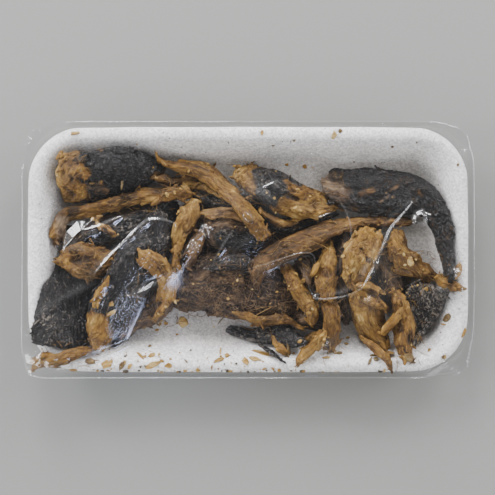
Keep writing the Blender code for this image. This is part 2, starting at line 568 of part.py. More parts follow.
def stretch_film(x, y, heap):
    """The height of a taut sheet held at its edge and borne up by the heap."""
    crest = heap.look_up(heap.crest(heap.height), x, y) + GAP
    z = np.full(x.shape, FILM_EDGE_LEVEL)
    z[1:-1, 1:-1] = np.maximum(crest, FILM_EDGE_LEVEL)[1:-1, 1:-1]
    for _ in range(STRETCHING_ROUNDS):
        mean = (z[:-2, 1:-1] + z[2:, 1:-1] + z[1:-1, :-2] + z[1:-1, 2:]) / 4
        z[1:-1, 1:-1] = np.maximum(crest[1:-1, 1:-1], mean)
    return z


def edge_numbers(rows, columns):
    """The numbers of a sheet's border points, anticlockwise from above."""
    low = [i * columns for i in range(rows)]
    right = [(rows - 1) * columns + j for j in range(1, columns)]
    high = [i * columns + columns - 1 for i in range(rows - 2, -1, -1)]
    back = list(range(columns - 2, 0, -1))
    return low + right + high + back


def build_film(heap):
    """The stretched film: a thin skin over the heap and the rim, down the sides and under the
    tray. The gap in its lapped seam underneath opens its inside."""
    half_x, half_y = TRAY_LENGTH / 2 + FILM_SIDE, TRAY_WIDTH / 2 + FILM_SIDE
    u, v = np.meshgrid(np.linspace(-1, 1, FILM_CELLS[0] + 1), np.linspace(-1, 1, FILM_CELLS[1] + 1),
                       indexing="ij")
    rows, columns = u.shape
    border = edge_numbers(rows, columns)
    border_u, border_v = u.ravel()[border], v.ravel()[border]
    x, y = film_plan(u, v, half_x, half_y, FILM_CORNERS)
    lower = sheet_triangles(rows, columns)
    z = heap.lift_clear(x.ravel(), y.ravel(), stretch_film(x, y, heap).ravel(), lower)

    def skin(grow):
        """One face of the film, grown outwards, as points and the rings that it ends in."""
        sheet_x, sheet_y = film_plan(u, v, half_x + grow, half_y + grow, FILM_CORNERS)
        points = list(zip(sheet_x.ravel(), sheet_y.ravel(), z + grow))
        rings = [list(border)]
        foot_x = TRAY_LENGTH / 2 - FILM_FOOT_INSET + grow
        foot_y = TRAY_WIDTH / 2 - FILM_FOOT_INSET + grow
        gap_x, gap_y = SEAM_GAP[0] / 2, SEAM_GAP[1] / 2
        level = FILM_THICKNESS - grow
        for ring_x, ring_y, corners, height, middle in (
                (half_x + grow - FILM_TURN_INSET, half_y + grow - FILM_TURN_INSET, FILM_CORNERS,
                 FILM_TURN_LEVEL, (0, 0)),
                (foot_x, foot_y, (TRAY_CORNER - FILM_FOOT_INSET,) * 4, level, (0, 0)),
                (gap_x, gap_y, (SEAM_CORNER,) * 4, level, SEAM_PLACE)):
            ring = film_plan(border_u, border_v, ring_x, ring_y, corners)
            rings.append(list(range(len(points), len(points) + len(border))))
            points += [(px + middle[0], py + middle[1], height) for px, py in zip(*ring)]
        return points, rings

    outer, outer_rings = skin(FILM_THICKNESS)
    inner, inner_rings = skin(0.0)
    shift = len(outer)
    inner_rings = [[n + shift for n in ring] for ring in inner_rings]
    faces = sheet_triangles(rows, columns, backwards=True)
    faces += [tuple(n + shift for n in triangle) for triangle in lower]
    for above, below in zip(outer_rings, outer_rings[1:]):
        faces += band(above, below)
    for above, below in zip(inner_rings, inner_rings[1:]):
        faces += [face[::-1] for face in band(above, below)]
    faces += band(outer_rings[-1], inner_rings[-1])
    clear = surface_material("clear_film", (0.85, 0.88, 0.90), 0.08, alpha=0.2)
    return add_object("stretch_film", outer + inner, faces, clear)


clear_scene()
build_tray()
HEAP = Heap()
for one in PIECES:
    build_piece(one, HEAP)
build_film(HEAP)
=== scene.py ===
"""The look of a retail pack of dried barracuda: torn, smoke-dried pieces heaped on a white foam
tray under clear stretched film. The sections follow the way the pack is put together: the
table and the lights, the tray, the fish from the lowest piece to the highest, the crumbs and
loose fibres, and last the film."""

import json
import math

import bmesh
import bpy
import numpy as np
from mathutils import Matrix, Vector
from mathutils.bvhtree import BVHTree

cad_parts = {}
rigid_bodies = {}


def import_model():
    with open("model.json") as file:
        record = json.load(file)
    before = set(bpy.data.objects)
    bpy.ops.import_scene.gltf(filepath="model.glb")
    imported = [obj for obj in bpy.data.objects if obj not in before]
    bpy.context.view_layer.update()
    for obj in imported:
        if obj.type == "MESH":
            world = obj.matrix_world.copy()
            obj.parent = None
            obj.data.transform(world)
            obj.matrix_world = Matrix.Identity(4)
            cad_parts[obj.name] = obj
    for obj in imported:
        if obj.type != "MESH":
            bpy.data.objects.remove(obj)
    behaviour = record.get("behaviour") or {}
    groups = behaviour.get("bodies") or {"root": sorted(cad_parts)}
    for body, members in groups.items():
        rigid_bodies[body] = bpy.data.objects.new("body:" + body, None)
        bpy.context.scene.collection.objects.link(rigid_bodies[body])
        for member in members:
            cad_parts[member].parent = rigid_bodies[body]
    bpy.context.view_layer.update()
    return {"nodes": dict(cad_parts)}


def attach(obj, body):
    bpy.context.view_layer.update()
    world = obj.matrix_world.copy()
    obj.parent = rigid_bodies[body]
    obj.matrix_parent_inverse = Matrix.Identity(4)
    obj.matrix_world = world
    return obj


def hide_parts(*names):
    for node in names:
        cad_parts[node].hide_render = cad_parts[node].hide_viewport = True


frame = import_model()

# ---- The table, the camera and the lights ----
# The pack lies on a pale worktop and is seen straight from above, as a shopper looks down on
# it. Soft lamps stand in a ring low down round it, so that the film mirrors them only in its
# folds, and never where it lies flat.

MM = 0.001
PIXEL_MM = 0.475
MIDDLE_PIXEL = (248.0, 249.5)
IMAGE_PIXELS = 495
RIM_LEVEL = 18.0
CAMERA_HEIGHT = 950.0
SENSOR_MM = 36.0
# The worktop's width and its level, a hair below the pack, in metres.
WORKTOP_SIZE, WORKTOP_LEVEL = 12.0, -0.0002


def from_photo(x, y):
    """Where a pixel of the photo lies on the tray, in millimetres."""
    return (x - MIDDLE_PIXEL[0]) * PIXEL_MM, (MIDDLE_PIXEL[1] - y) * PIXEL_MM


def new_object(name, data):
    """A new object in the scene for a mesh or a light."""
    made = bpy.data.objects.new(name, data)
    bpy.context.scene.collection.objects.link(made)
    return made


def colour(code):
    """An sRGB hex colour as linear red, green, blue and alpha."""
    parts = [int(code[i:i + 2], 16) / 255 for i in (1, 3, 5)]
    return (*(c / 12.92 if c <= 0.04045 else ((c + 0.055) / 1.055) ** 2.4 for c in parts), 1.0)


def new_material(name):
    """An empty node material, and the tree that its nodes go in."""
    made = bpy.data.materials.new(name)
    made.use_nodes = True
    made.node_tree.nodes.clear()
    return made, made.node_tree


def add_node(tree, kind, links=(), **settings):
    """Adds one node. Settings are its own properties, or values of its inputs by their names
    with _ for a blank; links are (input name or number, what feeds it): an output socket, or a
    node for its first output."""
    node = tree.nodes.new("ShaderNode" + kind)
    for key, value in settings.items():
        if hasattr(node, key):
            setattr(node, key, value)
        else:
            node.inputs[key.replace("_", " ")].default_value = value
    for key, source in links:
        tree.links.new(getattr(source, "outputs", (source,))[0], node.inputs[key])
    return node


bpy.ops.object.select_all(action="DESELECT")
middle = from_photo(IMAGE_PIXELS / 2, IMAGE_PIXELS / 2)
bpy.ops.object.camera_add(location=(middle[0] * MM, middle[1] * MM, CAMERA_HEIGHT * MM),
                          rotation=(0, 0, 0))
camera = bpy.context.object
camera.data.sensor_width = SENSOR_MM
camera.data.lens = SENSOR_MM * (CAMERA_HEIGHT - RIM_LEVEL) / (IMAGE_PIXELS * PIXEL_MM)
camera.data.clip_start = 0.01
bpy.context.scene.camera = camera

bpy.ops.mesh.primitive_plane_add(size=WORKTOP_SIZE, location=(0, 0, WORKTOP_LEVEL))
worktop = bpy.context.object
worktop.name = "worktop"
paint, tree = new_material("matt_grey_laminate")
surface = add_node(tree, "BsdfPrincipled", Base_Color=colour("#8b8c88"), Roughness=0.6)
add_node(tree, "OutputMaterial", [("Surface", surface)])
worktop.data.materials.append(paint)


def add_lamp(name, turn, lean, size, watts, tint, aim=(0, 0), away=1.3, spread=180):
    """A soft square light that faces a place on the pack from a compass turn and a lean off the
    vertical, both in degrees; its width and distance in metres, and how far it fans out."""
    lamp = bpy.data.lights.new(name, "AREA")
    lamp.size = size
    lamp.energy = watts
    lamp.color = colour(tint)[:3]
    lamp.spread = math.radians(spread)
    turn, lean = math.radians(turn), math.radians(lean)
    place = Vector((math.sin(lean) * math.cos(turn), math.sin(lean) * math.sin(turn),
                    math.cos(lean))) * away
    thing = new_object(name, lamp)
    thing.location = place + Vector((*aim, 0)) * MM
    thing.rotation_euler = (-place).to_track_quat("-Z", "Y").to_euler()


# The ring: its lamps, how far each leans and is wide, and its power. It is brightest on the far
# side and dimmest on the near one, by FAR_SHARE of the mean.
SIDE_LAMPS, SIDE_LEAN = 9, 64
SIDE_WIDTH, SIDE_WATTS = 0.42, 7.8
FIRST_TURN, FAR_TURN, FAR_SHARE = 21, 105, 0.9
for i in range(SIDE_LAMPS):
    turn = FIRST_TURN + 360 * i / SIDE_LAMPS
    share = 1 + FAR_SHARE * math.cos(math.radians(turn - FAR_TURN))
    add_lamp(f"side_light_{i}", turn, SIDE_LEAN, SIDE_WIDTH, SIDE_WATTS * share, "#fbfaff")
# Two dim lamps close by, behind grids that keep their light narrow, give the broad sheen and
# the streak on the film over the near left pieces.
add_lamp("sheen_light", turn=313, lean=21, size=0.10, watts=0.0050, tint="#ccd8ff",
         aim=from_photo(118, 300), away=0.28, spread=17)
add_lamp("streak_light", turn=299, lean=60, size=0.06, watts=0.0024, tint="#f4f6ff",
         aim=from_photo(150, 282), away=0.30, spread=10)
# The room: dark straight above, where the viewer stands, and bright low down all round.
room = bpy.data.worlds.new("room")
room.use_nodes = True
tree = room.node_tree
direction = add_node(tree, "TexCoord").outputs["Generated"]
split = add_node(tree, "SeparateXYZ", [("Vector", direction)])
glow = add_node(tree, "MapRange", [("Value", split.outputs["Z"])], From_Min=0.25, From_Max=0.95,
                To_Min=1.35, To_Max=0.12)
background = tree.nodes["Background"]
background.inputs["Color"].default_value = colour("#f1f2f4")
tree.links.new(glow.outputs[0], background.inputs["Strength"])
bpy.context.scene.world = room

# ---- The foam tray ----
# A shallow meat tray pressed from a sheet of expanded polystyrene about 3 mm thick, with a
# rolled rim. Its skin is smooth and faintly grainy from the foam's beads, with a few dents.


def select_only(piece):
    """Makes one piece the only selected object, and the active one."""
    bpy.ops.object.select_all(action="DESELECT")
    piece.select_set(True)
    bpy.context.view_layer.objects.active = piece


def edit_faces(piece, operator, chosen=None, **settings):
    """Runs one edit mode operator on the chosen faces of a piece, or on all of them."""
    select_only(piece)
    bpy.ops.object.mode_set(mode="EDIT")
    bpy.ops.mesh.select_mode(type="FACE")
    bpy.ops.mesh.select_all(action="SELECT" if chosen is None else "DESELECT")
    if chosen is not None:
        bpy.ops.object.mode_set(mode="OBJECT")
        piece.data.polygons.foreach_set("select", chosen)
        bpy.ops.object.mode_set(mode="EDIT")
    operator(**settings)
    bpy.ops.object.mode_set(mode="OBJECT")


def merged_copy(name, new_name):
    """A new piece with a node's shape, whose loose triangles are merged into one skin."""
    piece = new_object(new_name, frame["nodes"][name].data.copy())
    piece.data.materials.clear()
    edit_faces(piece, bpy.ops.mesh.remove_doubles, threshold=1e-6)
    edit_faces(piece, bpy.ops.mesh.customdata_custom_splitnormals_clear)
    return piece


def apply_modifier(piece, kind, **settings):
    """Adds one modifier to a piece and applies it."""
    bpy.context.view_layer.objects.active = piece
    modifier = piece.modifiers.new(kind.lower(), kind)
    for key, value in settings.items():
        setattr(modifier, key, value)
    bpy.ops.object.modifier_apply(modifier=modifier.name)


def rows_of(items, key, columns=3, kind=np.float32):
    """One property of all the points, edges or faces of a mesh, one row each."""
    flat = np.empty(len(items) * columns, kind)
    items.foreach_get(key, flat)
    return flat.reshape(-1, columns)


def points_of(piece):
    """A mesh's points in millimetres, one row each."""
    return rows_of(piece.data.vertices, "co").astype(float) / MM


def set_points(piece, points):
    """Writes points in millimetres back to a mesh."""
    piece.data.vertices.foreach_set("co", (points * MM).astype(np.float32).ravel())
    piece.data.update()


def normals_of(piece):
    """The direction that each point of a mesh faces."""
    return rows_of(piece.data.vertex_normals, "vector").astype(float)


def wander(points, seed):
    """Smooth random values between about -1 and 1 that change over a length of 1."""
    cell = np.floor(points).astype(np.int64)
    part = points - cell
    ease = part ** 3 * (part * (part * 6 - 15) + 10)
    total = np.zeros(len(points))
    for corner in np.ndindex(2, 2, 2):
        step = np.array(corner)
        key = (cell + step) @ np.array([73856093, 19349663, 83492791]) + seed * 9176263
        away = part - step
        dot = np.zeros(len(points))
        for axis in range(3):
            key = (key ^ (key >> 13)) * 60493 & 0xFFFFFFF
            dot += (key / 0x7FFFFFF - 1) * away[:, axis]
        total += dot * np.prod(np.where(step, ease, 1 - ease), axis=1)
    return total * 1.5


tray = merged_copy("foam_tray", "pressed_foam_tray")
edit_faces(tray, bpy.ops.mesh.tris_convert_to_quads)
apply_modifier(tray, "SUBSURF", levels=2, render_levels=2)
# Unevenness in the foam: its depth and size in millimetres, and its seed.
UNEVEN = ((0.22, 17.0, 3), (0.08, 5.0, 4))
# Dents in the rim: each one's place, radius and depth in millimetres.
DENTS = ((92.5, 47.5, 3.0, 0.7), (96.5, 44.0, 2.0, 0.5), (-99.0, 12.0, 4.0, 0.4),
         (-60.0, 55.0, 6.0, 0.3), (30.0, -56.0, 7.0, 0.3))
place = points_of(tray)
facing = normals_of(tray)
push = sum(depth * wander(place / size, seed) for depth, size, seed in UNEVEN)
for dent_x, dent_y, radius, depth in DENTS:
    away = np.hypot(place[:, 0] - dent_x, place[:, 1] - dent_y)
    push -= depth * np.exp(-(away / radius) ** 2) * (place[:, 2] > RIM_LEVEL - 3)
# The foot stays flat: the relief begins 1 mm above it and has its full depth at 3 mm.
push *= np.clip((place[:, 2] - 1.0) / 2.0, 0, 1)
set_points(tray, place + facing * push[:, None])
select_only(tray)
bpy.ops.object.shade_smooth()

# Expanded polystyrene: white and matt, a little darker towards the floor, which is painted shade,
# and in faint patches, with beads about 0.75 mm across, each a shade of its own.
BEAD_MM, PATCH_MM = 0.75, 14
foam, tree = new_material("expanded_polystyrene")
coordinates = add_node(tree, "TexCoord").outputs["Object"]
beads = add_node(tree, "TexVoronoi", [("Vector", coordinates)], feature="F1",
                 Scale=1 / (BEAD_MM * MM))
patch_noise = add_node(tree, "TexNoise", [("Vector", coordinates)], Scale=1 / (PATCH_MM * MM), Detail=3.0)
split = add_node(tree, "SeparateXYZ", [("Vector", coordinates)])
# Painted shade: the foam's colour darkens from the rim down to the tray's floor.
depth = add_node(tree, "MapRange", [("Value", split.outputs["Z"])], From_Min=3.5 * MM,
                 From_Max=17.0 * MM, To_Min=0.0, To_Max=0.75)
patchy = add_node(tree, "MapRange", [("Value", patch_noise)], From_Min=0.35, From_Max=0.65,
                  To_Min=0.0, To_Max=0.2)
floor_shade_and_patches = add_node(tree, "Math", [(0, depth), (1, patchy)], operation="ADD")
shade = add_node(tree, "ValToRGB", [("Fac", floor_shade_and_patches)])
shade.color_ramp.elements[0].color = colour("#a9a49c")
shade.color_ramp.elements[1].color = colour("#f8f7f5")
grit = add_node(tree, "SeparateXYZ", [("Vector", beads.outputs["Color"])])
bead_tone = add_node(tree, "MapRange", [("Value", grit.outputs["X"])], To_Min=0.68, To_Max=1.14)
speckled = add_node(tree, "VectorMath", [(0, shade), ("Scale", bead_tone)], operation="SCALE")
relief = add_node(tree, "Bump", [("Height", beads)], Strength=0.35, Distance=0.12 * MM)
surface = add_node(tree, "BsdfPrincipled", [("Base Color", speckled), ("Normal", relief)],
                   Roughness=0.62, Specular_IOR_Level=0.35)
add_node(tree, "OutputMaterial", [("Surface", surface)])
tray.data.materials.append(foam)
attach(tray, "root")
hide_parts("foam_tray")

# ---- The dried fish ----
# Barracuda split, smoked dry and torn by hand. The flesh dries to matted golden fibres that
# run along each piece and crack apart; the skin chars black, with fine wrinkles.

VOXEL_MM = 0.42
SWELL_MM = 0.15
# Pleats in the skin: how wide and deep they are, and over how far they fade.
PLEAT_MM, PLEAT_DEPTH_MM, PLEAT_EDGE_MM = 1.5, 0.15, 2.0
# Flesh turns to skin over the first of these widths, and is browner beside it over the second.
CHAR_EDGE_MM, NEAR_CHAR_MM = 0.9, 3.0
# Flakes and slivers torn up from the surface: the field that each has in square millimetres,
# how thick each is for its width, and the least and greatest length and width of a flake.
FLAKE_FIELD, SKIN_FLAKE_FIELD, SLIVER_FIELD = 60.0, 240.0, 26.0
FLAKE_FLATNESS, SLIVER_FLATNESS = 0.3, 0.8
FLAKE_SIZE = ((5, 11), (2.2, 4.5))
SLIVER_SIDES = 5
# The rings of a sliver: each one's place along its length, and its width.
SLIVER_RINGS = ((-0.5, 0.25), (-0.3, 0.8), (0.05, 1.0), (0.35, 0.7), (0.5, 0.15))


def middle_line(points, edges):
    """A line along the middle of a piece, from one tip to the other, in plan."""
    near = {}
    for a, b in edges:
        length = math.dist(points[a], points[b])
        near.setdefault(a, []).append((b, length))
        near.setdefault(b, []).append((a, length))

    def walk(start):
        """How far each point lies from the start, over the mesh's edges."""
        far = np.full(len(points), np.inf)
        far[start] = 0
        waiting = [start]
        while waiting:
            here = waiting.pop(0)
            for there, length in near[here]:
                if far[here] + length < far[there] - 1e-9:
                    far[there] = far[here] + length
                    waiting.append(there)
        return far

    far = walk(int(np.argmax(walk(0))))
    steps = max(4, int(far.max() / 7))
    bins = np.minimum((far / far.max() * steps).astype(int), steps - 1)
    line = np.array([points[bins == i, :2].mean(0) for i in range(steps) if (bins == i).any()])
    return np.vstack([1.5 * line[0] - 0.5 * line[1], line, 1.5 * line[-1] - 0.5 * line[-2]])


def along_and_across(points, line):
    """Where points lie along a middle line and beside it, and which way the line runs there."""
    starts, steps = line[:-1], np.diff(line, axis=0)
    lengths = np.hypot(*steps.T)
    share = ((points[:, None, :2] - starts) * steps).sum(2) / lengths ** 2
    inside = np.clip(share, 0, 1)
    inside[:, 0] = np.minimum(share[:, 0], 1)
    inside[:, -1] = np.maximum(share[:, -1], 0)
    foot = starts + inside[:, :, None] * steps
    away = np.hypot(*np.moveaxis(points[:, None, :2] - foot, 2, 0))
    best = away.argmin(1)
    rows = np.arange(len(points))
    run = steps[best] / lengths[best, None]
    off = points[:, :2] - foot[rows, best]
    begin = np.concatenate([[0], np.cumsum(lengths)])[:-1]
    along = begin[best] + inside[rows, best] * lengths[best]
    return along, run[:, 0] * off[:, 1] - run[:, 1] * off[:, 0], run


def tube_faces(base, rings, sides):
    """The faces of a closed tube, whose rings of points follow each other from number base."""
    faces = []
    for ring in range(rings - 1):
        for side in range(sides):
            a = base + ring * sides + side
            b = base + ring * sides + (side + 1) % sides
            faces.append((a, b, b + sides, a + sides))
    last = base + (rings - 1) * sides
    faces.append(tuple(base + side for side in reversed(range(sides))))
    faces.append(tuple(last + side for side in range(sides)))
    return faces


def add_to_mesh(mesh, verts, faces):
    """Adds points and faces to a mesh, and turns its faces outwards."""
    shape = bmesh.new()
    shape.from_mesh(mesh)
    added = [shape.verts.new(place) for place in verts]
    for face in faces:
        shape.faces.new([added[i] for i in face])
    bmesh.ops.recalc_face_normals(shape, faces=shape.faces)
    shape.to_mesh(mesh)
    shape.free()


def add_slivers(piece, line, count, draw, size, flatness):
    """Lays torn slivers along the grain, half sunk in the piece's top and in its torn sides."""
    points = points_of(piece)
    facing = normals_of(piece)
    upward = np.flatnonzero(facing[:, 2] > -0.35)
    chosen = draw.choice(upward, int(count))
    _, _, runs = along_and_across(points[chosen], line)
    verts, faces = [], []
    for place, up, run in zip(points[chosen], facing[chosen], runs):
        place, up = Vector(place), Vector(up)
        ahead = Vector((*run, 0)) * draw.choice((-1, 1))
        ahead = (ahead - up * ahead.dot(up)).normalized()
        beside = up.cross(ahead).normalized()
        ahead = (ahead + beside * draw.normal(0, 0.42) + up * draw.uniform(-0.12, 0.3)).normalized()
        beside = up.cross(ahead).normalized()
        above = ahead.cross(beside)
        length, width = draw.uniform(*size[0]), draw.uniform(*size[1])
        base = len(verts)
        for reach, swell in SLIVER_RINGS:
            centre = place + ahead * reach * length
            for side in range(SLIVER_SIDES):
                turn = math.tau * side / SLIVER_SIDES
                verts.append((centre + beside * (width / 2 * swell * math.cos(turn))
                              + above * (width / 2 * flatness * swell * math.sin(turn))) * MM)
        faces += tube_faces(base, len(SLIVER_RINGS), SLIVER_SIDES)
    add_to_mesh(piece.data, verts, faces)


def patch_depth(points, patches):
    """How far points lie inside the deepest of some round-ended patches, in millimetres."""
    deep = np.full(len(points), -50.0)
    for x1, y1, x2, y2, radius in patches:
        start = np.array(from_photo(x1, y1))
        step = np.array(from_photo(x2, y2)) - start
        share = np.clip(((points[:, :2] - start) @ step) / max(step @ step, 1e-9), 0, 1)
        away = np.hypot(*(points[:, :2] - start - share[:, None] * step).T)
        deep = np.maximum(deep, radius * PIXEL_MM - away)
    return deep


def set_attribute(piece, name, values):
    """Stores one number, or one vector, for each point of a mesh."""
    kind = "FLOAT" if values.ndim == 1 else "FLOAT_VECTOR"
    layer = piece.data.attributes.new(name, kind, "POINT")
    key = "value" if kind == "FLOAT" else "vector"
    layer.data.foreach_set(key, values.astype(np.float32).ravel())


def make_fish(piece, grain, tone, ridge, char, smoke):
    """Gives a piece the attributes that the fish material reads, and selects it."""
    for key, values in (("tone", tone), ("ridge", ridge), ("char", char), ("smoke", smoke)):
        set_attribute(piece, key, np.clip(np.broadcast_to(values, len(grain)), 0, 1))
    set_attribute(piece, "grain", grain)
    piece.data.materials.append(fish_material)
    select_only(piece)


def dried_piece(name, gold, slot="flesh", skin=(), flesh=(), marks=(), pleats=(), slivers=1.0,
                size=((4, 10), (0.8, 1.5)), relief=1.0, tangle=1.0, streaks=0.10, grit=0.17,
                flecks=0.0, grey=0.38, smoke=0.0, dull=(), voxel=VOXEL_MM):
    """One piece of dried fish: the node's solid with its torn fibres, cracks and wrinkles.
    gold is how golden its flesh is, from 0 to 1. skin and flesh are the patches of each on a
    piece that is mostly the other: x and y of two ends and a radius, in the photo's pixels.
    marks are patches too, each with a change of tone and how many millimetres it is sunk; the
    darkening of a sunk mark is partly painted shade, the lightening of a raised one partly painted
    highlight.
    slivers is how many there are and size their least and greatest length and width; relief
    is how deep the surface is worn, tangle how far its fibres stray. streaks and grit are how
    strongly long fibres and crumbs colour the flesh, flecks how much flesh breaks through the
    skin, grey how light the skin is, in part a painted sheen. smoke takes the gold out of the
    flesh, all over or in the dull patches only."""
    draw = np.random.default_rng(sum(ord(letter) * (i + 3) for i, letter in enumerate(name)))
    seed = int(draw.integers(1, 9999))
    skinned = slot == "charred_skin"
    piece = merged_copy(name, "dried_" + name)
    points = points_of(piece)
    edges = [tuple(edge.vertices) for edge in piece.data.edges]
    line = middle_line(points, edges)
    apply_modifier(piece, "SUBSURF", levels=1, render_levels=1)
    area = sum(face.area for face in piece.data.polygons) / MM ** 2
    field = SKIN_FLAKE_FIELD if skinned else FLAKE_FIELD
    add_slivers(piece, line, area / field, draw, FLAKE_SIZE, FLAKE_FLATNESS)
    add_slivers(piece, line, slivers * area / SLIVER_FIELD, draw, size, SLIVER_FLATNESS)
    apply_modifier(piece, "REMESH", mode="VOXEL", voxel_size=voxel * MM)

    points = points_of(piece)
    facing = normals_of(piece)
    along, across, _ = along_and_across(points, line)
    depth = points[:, 2]

    def lumpy(size, number):
        """Noise of one size in millimetres."""
        return wander(points / size, seed + number)

    def drawn(length, width, number):
        """Noise drawn out along the grain, with its length and width in millimetres."""
        return wander(grain / (length, width, width), seed + number)

    across = across + tangle * (1.3 * lumpy(8.0, 0) + 0.5 * lumpy(2.7, 9))
    along = along + tangle * 2.0 * lumpy(6.0, 10)
    grain = np.column_stack([along, across, depth])
    ragged = 2.2 * lumpy(4.5, 1) + 1.2 * lumpy(1.5, 2)
    if skinned:
        char = ragged - patch_depth(points, flesh)
    else:
        char = ragged * 0.7 + patch_depth(points, skin)
    near_char = np.exp(-(np.minimum(char, 0) / NEAR_CHAR_MM) ** 2)
    char = np.clip(0.5 + char / CHAR_EDGE_MM, 0, 1)
    if flecks:
        spots = lumpy(1.6, 11) + 0.6 * lumpy(7.0, 12)
        char *= 1 - np.clip((spots - 0.75 + 0.3 * flecks) * 5, 0, 1)
    lump = lumpy(6.5, 3)
    knob = drawn(4.5, 2.3, 16)
    fibre = 1 - 2 * np.abs(drawn(9.0, 2.0, 4))
    fine = drawn(3.2, 1.2, 5)
    crack = np.exp(-(drawn(9.0, 3.4, 6) / 0.05) ** 2)
    crack *= np.clip(lumpy(8.0, 13) * 3 - 0.3, 0, 1)
    wrinkle = 1 - 2 * np.abs(drawn(1.8, 1.3, 7))
    fold = drawn(7.0, 4.0, 14)
    torn = 0.62 * lump + 0.38 * knob + 0.22 * (fibre - 0.4) + 0.26 * fine - 0.8 * crack
    hide = 0.25 * lump + 0.30 * fold + 0.42 * (wrinkle - 0.4) + 0.28 * knob
    pleated = np.clip(patch_depth(points, pleats) / PLEAT_EDGE_MM, 0, 1)
    pleat = np.sin(points[:, 0] * math.tau / PLEAT_MM + 2.0 * lumpy(5.0, 18))
    hide += pleated * PLEAT_DEPTH_MM * pleat
    push = (char * hide + (1 - char) * torn) * relief

    drift = lumpy(9.0, 8)
    blotch = drawn(7.0, 2.6, 15)
    speckle = drawn(2.4, 1.1, 17)
    streak = drawn(15.0, 1.3, 19)
    tone = gold + 0.20 * drift + 0.13 * blotch + grit * speckle + streaks * streak
    # Painted highlight and shade: the flesh is lighter on the lumps and knobs that stand out and darker
    # in the cracks. It is also browner beside the skin.
    tone += 0.10 * lump + 0.12 * knob - 0.20 * crack - 0.20 * near_char
    # A mark's change of tone goes with its sinking: besides its own colour, it paints shade into the
    # sunk marks and highlight onto the raised ones.
    for *patch, change, sunk in marks:
        inside = patch_depth(points, (patch,)) + 0.5 * ragged
        share = np.clip(inside / (0.5 * patch[-1] * PIXEL_MM), 0, 1) * (facing[:, 2] > -0.2)
        tone += change * share
        push -= sunk * share
    push *= np.clip((depth - 0.4) / 1.5, 0.2, 1)
    set_points(piece, points + facing * (push + SWELL_MM)[:, None])
    # Painted highlight and shade: the skin's tone is lighter on its raised wrinkles, folds and pleats
    # and darker between them, over a random drift.
    ridge = grey + 0.35 * (wrinkle - 0.3) + 0.25 * fold + 0.2 * drift + 0.12 * pleated * pleat
    smoked = smoke + 0.6 * np.clip((patch_depth(points, dull) + ragged) / 3.0, 0, 1)
    make_fish(piece, grain, tone, ridge, char, smoked)
    bpy.ops.object.shade_smooth()
    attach(piece, "root")
    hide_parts(name)


# Smoke-dried fish. Its flesh is dull golden protein, browner where it is smoked and with painted
# shade where it is deep, with pale fuzz where fibres 0.2 mm thick stand up, drawn 0.9 mm wide so
# that they show. Its charred skin is black and leathery, with fine creases and beads about 1 mm
# apart, whose grey is painted glints.
FIBRE_MM = (3.2, 0.9)
CREASE_MM = (1.7, 0.9)
AMBER_MM = 7.0
fish_material, tree = new_material("smoke_dried_fish")
grain = add_node(tree, "Attribute", attribute_name="grain").outputs["Vector"]
tone, ridge, char, smoke = (add_node(tree, "Attribute", attribute_name=name).outputs["Fac"]
                            for name in ("tone", "ridge", "char", "smoke"))
# Two noises drawn out along the grain, one for the fibres and one for the creases.
noises = []
for (length, width), distortion in ((FIBRE_MM, 0.0), (CREASE_MM, 0.8)):
    scaled = add_node(tree, "VectorMath", [(0, grain)], operation="MULTIPLY")
    scaled.inputs[1].default_value = (1 / length, 1 / width, 1 / width)
    noises.append(add_node(tree, "TexNoise", [("Vector", scaled)], Scale=1.0, Detail=2.0,
                           Roughness=0.6, Distortion=distortion))
fibres, creases = noises
# The fibres' tone is lighter where they stand up: partly their own paler colour, partly painted
# highlight.
spread = add_node(tree, "MapRange", [("Value", fibres)], From_Min=0.3, From_Max=0.7,
                  To_Min=-0.10, To_Max=0.20)
summed = add_node(tree, "Math", [(0, tone), (1, spread)], operation="ADD")
flesh_ramp = add_node(tree, "ValToRGB", [("Fac", summed)])
# Painted glints and shade: the skin's creases are painted grey where they stand up and darker where
# they sink.
painted_crease_light = add_node(tree, "MapRange", [("Value", creases)], From_Min=0.35, From_Max=0.70,
                         To_Min=-0.52, To_Max=0.60)
skin_tone = add_node(tree, "Math", [(0, ridge), (1, painted_crease_light)], operation="ADD")
skin_ramp = add_node(tree, "ValToRGB", [("Fac", skin_tone)])
# From the darkest to the palest: the two ends of each ramp, and the colours between them.
FLESH_ENDS, SKIN_ENDS = ("#1e140a", "#b29c69"), ("#050404", "#6f665b")
FLESH_STOPS = ((0.20, "#3b2a16"), (0.42, "#583f1e"), (0.60, "#6f5327"), (0.76, "#856730"),
               (0.88, "#997b44"))
SKIN_STOPS = ((0.35, "#090807"), (0.62, "#171412"), (0.82, "#38322c"))
for ramp, ends, between in ((flesh_ramp, FLESH_ENDS, FLESH_STOPS),
                            (skin_ramp, SKIN_ENDS, SKIN_STOPS)):
    stops = ramp.color_ramp.elements
    for stop, code in zip(stops, ends):
        stop.color = colour(code)
    for position, code in between:
        stop = stops.new(position)
        stop.color = colour(code)
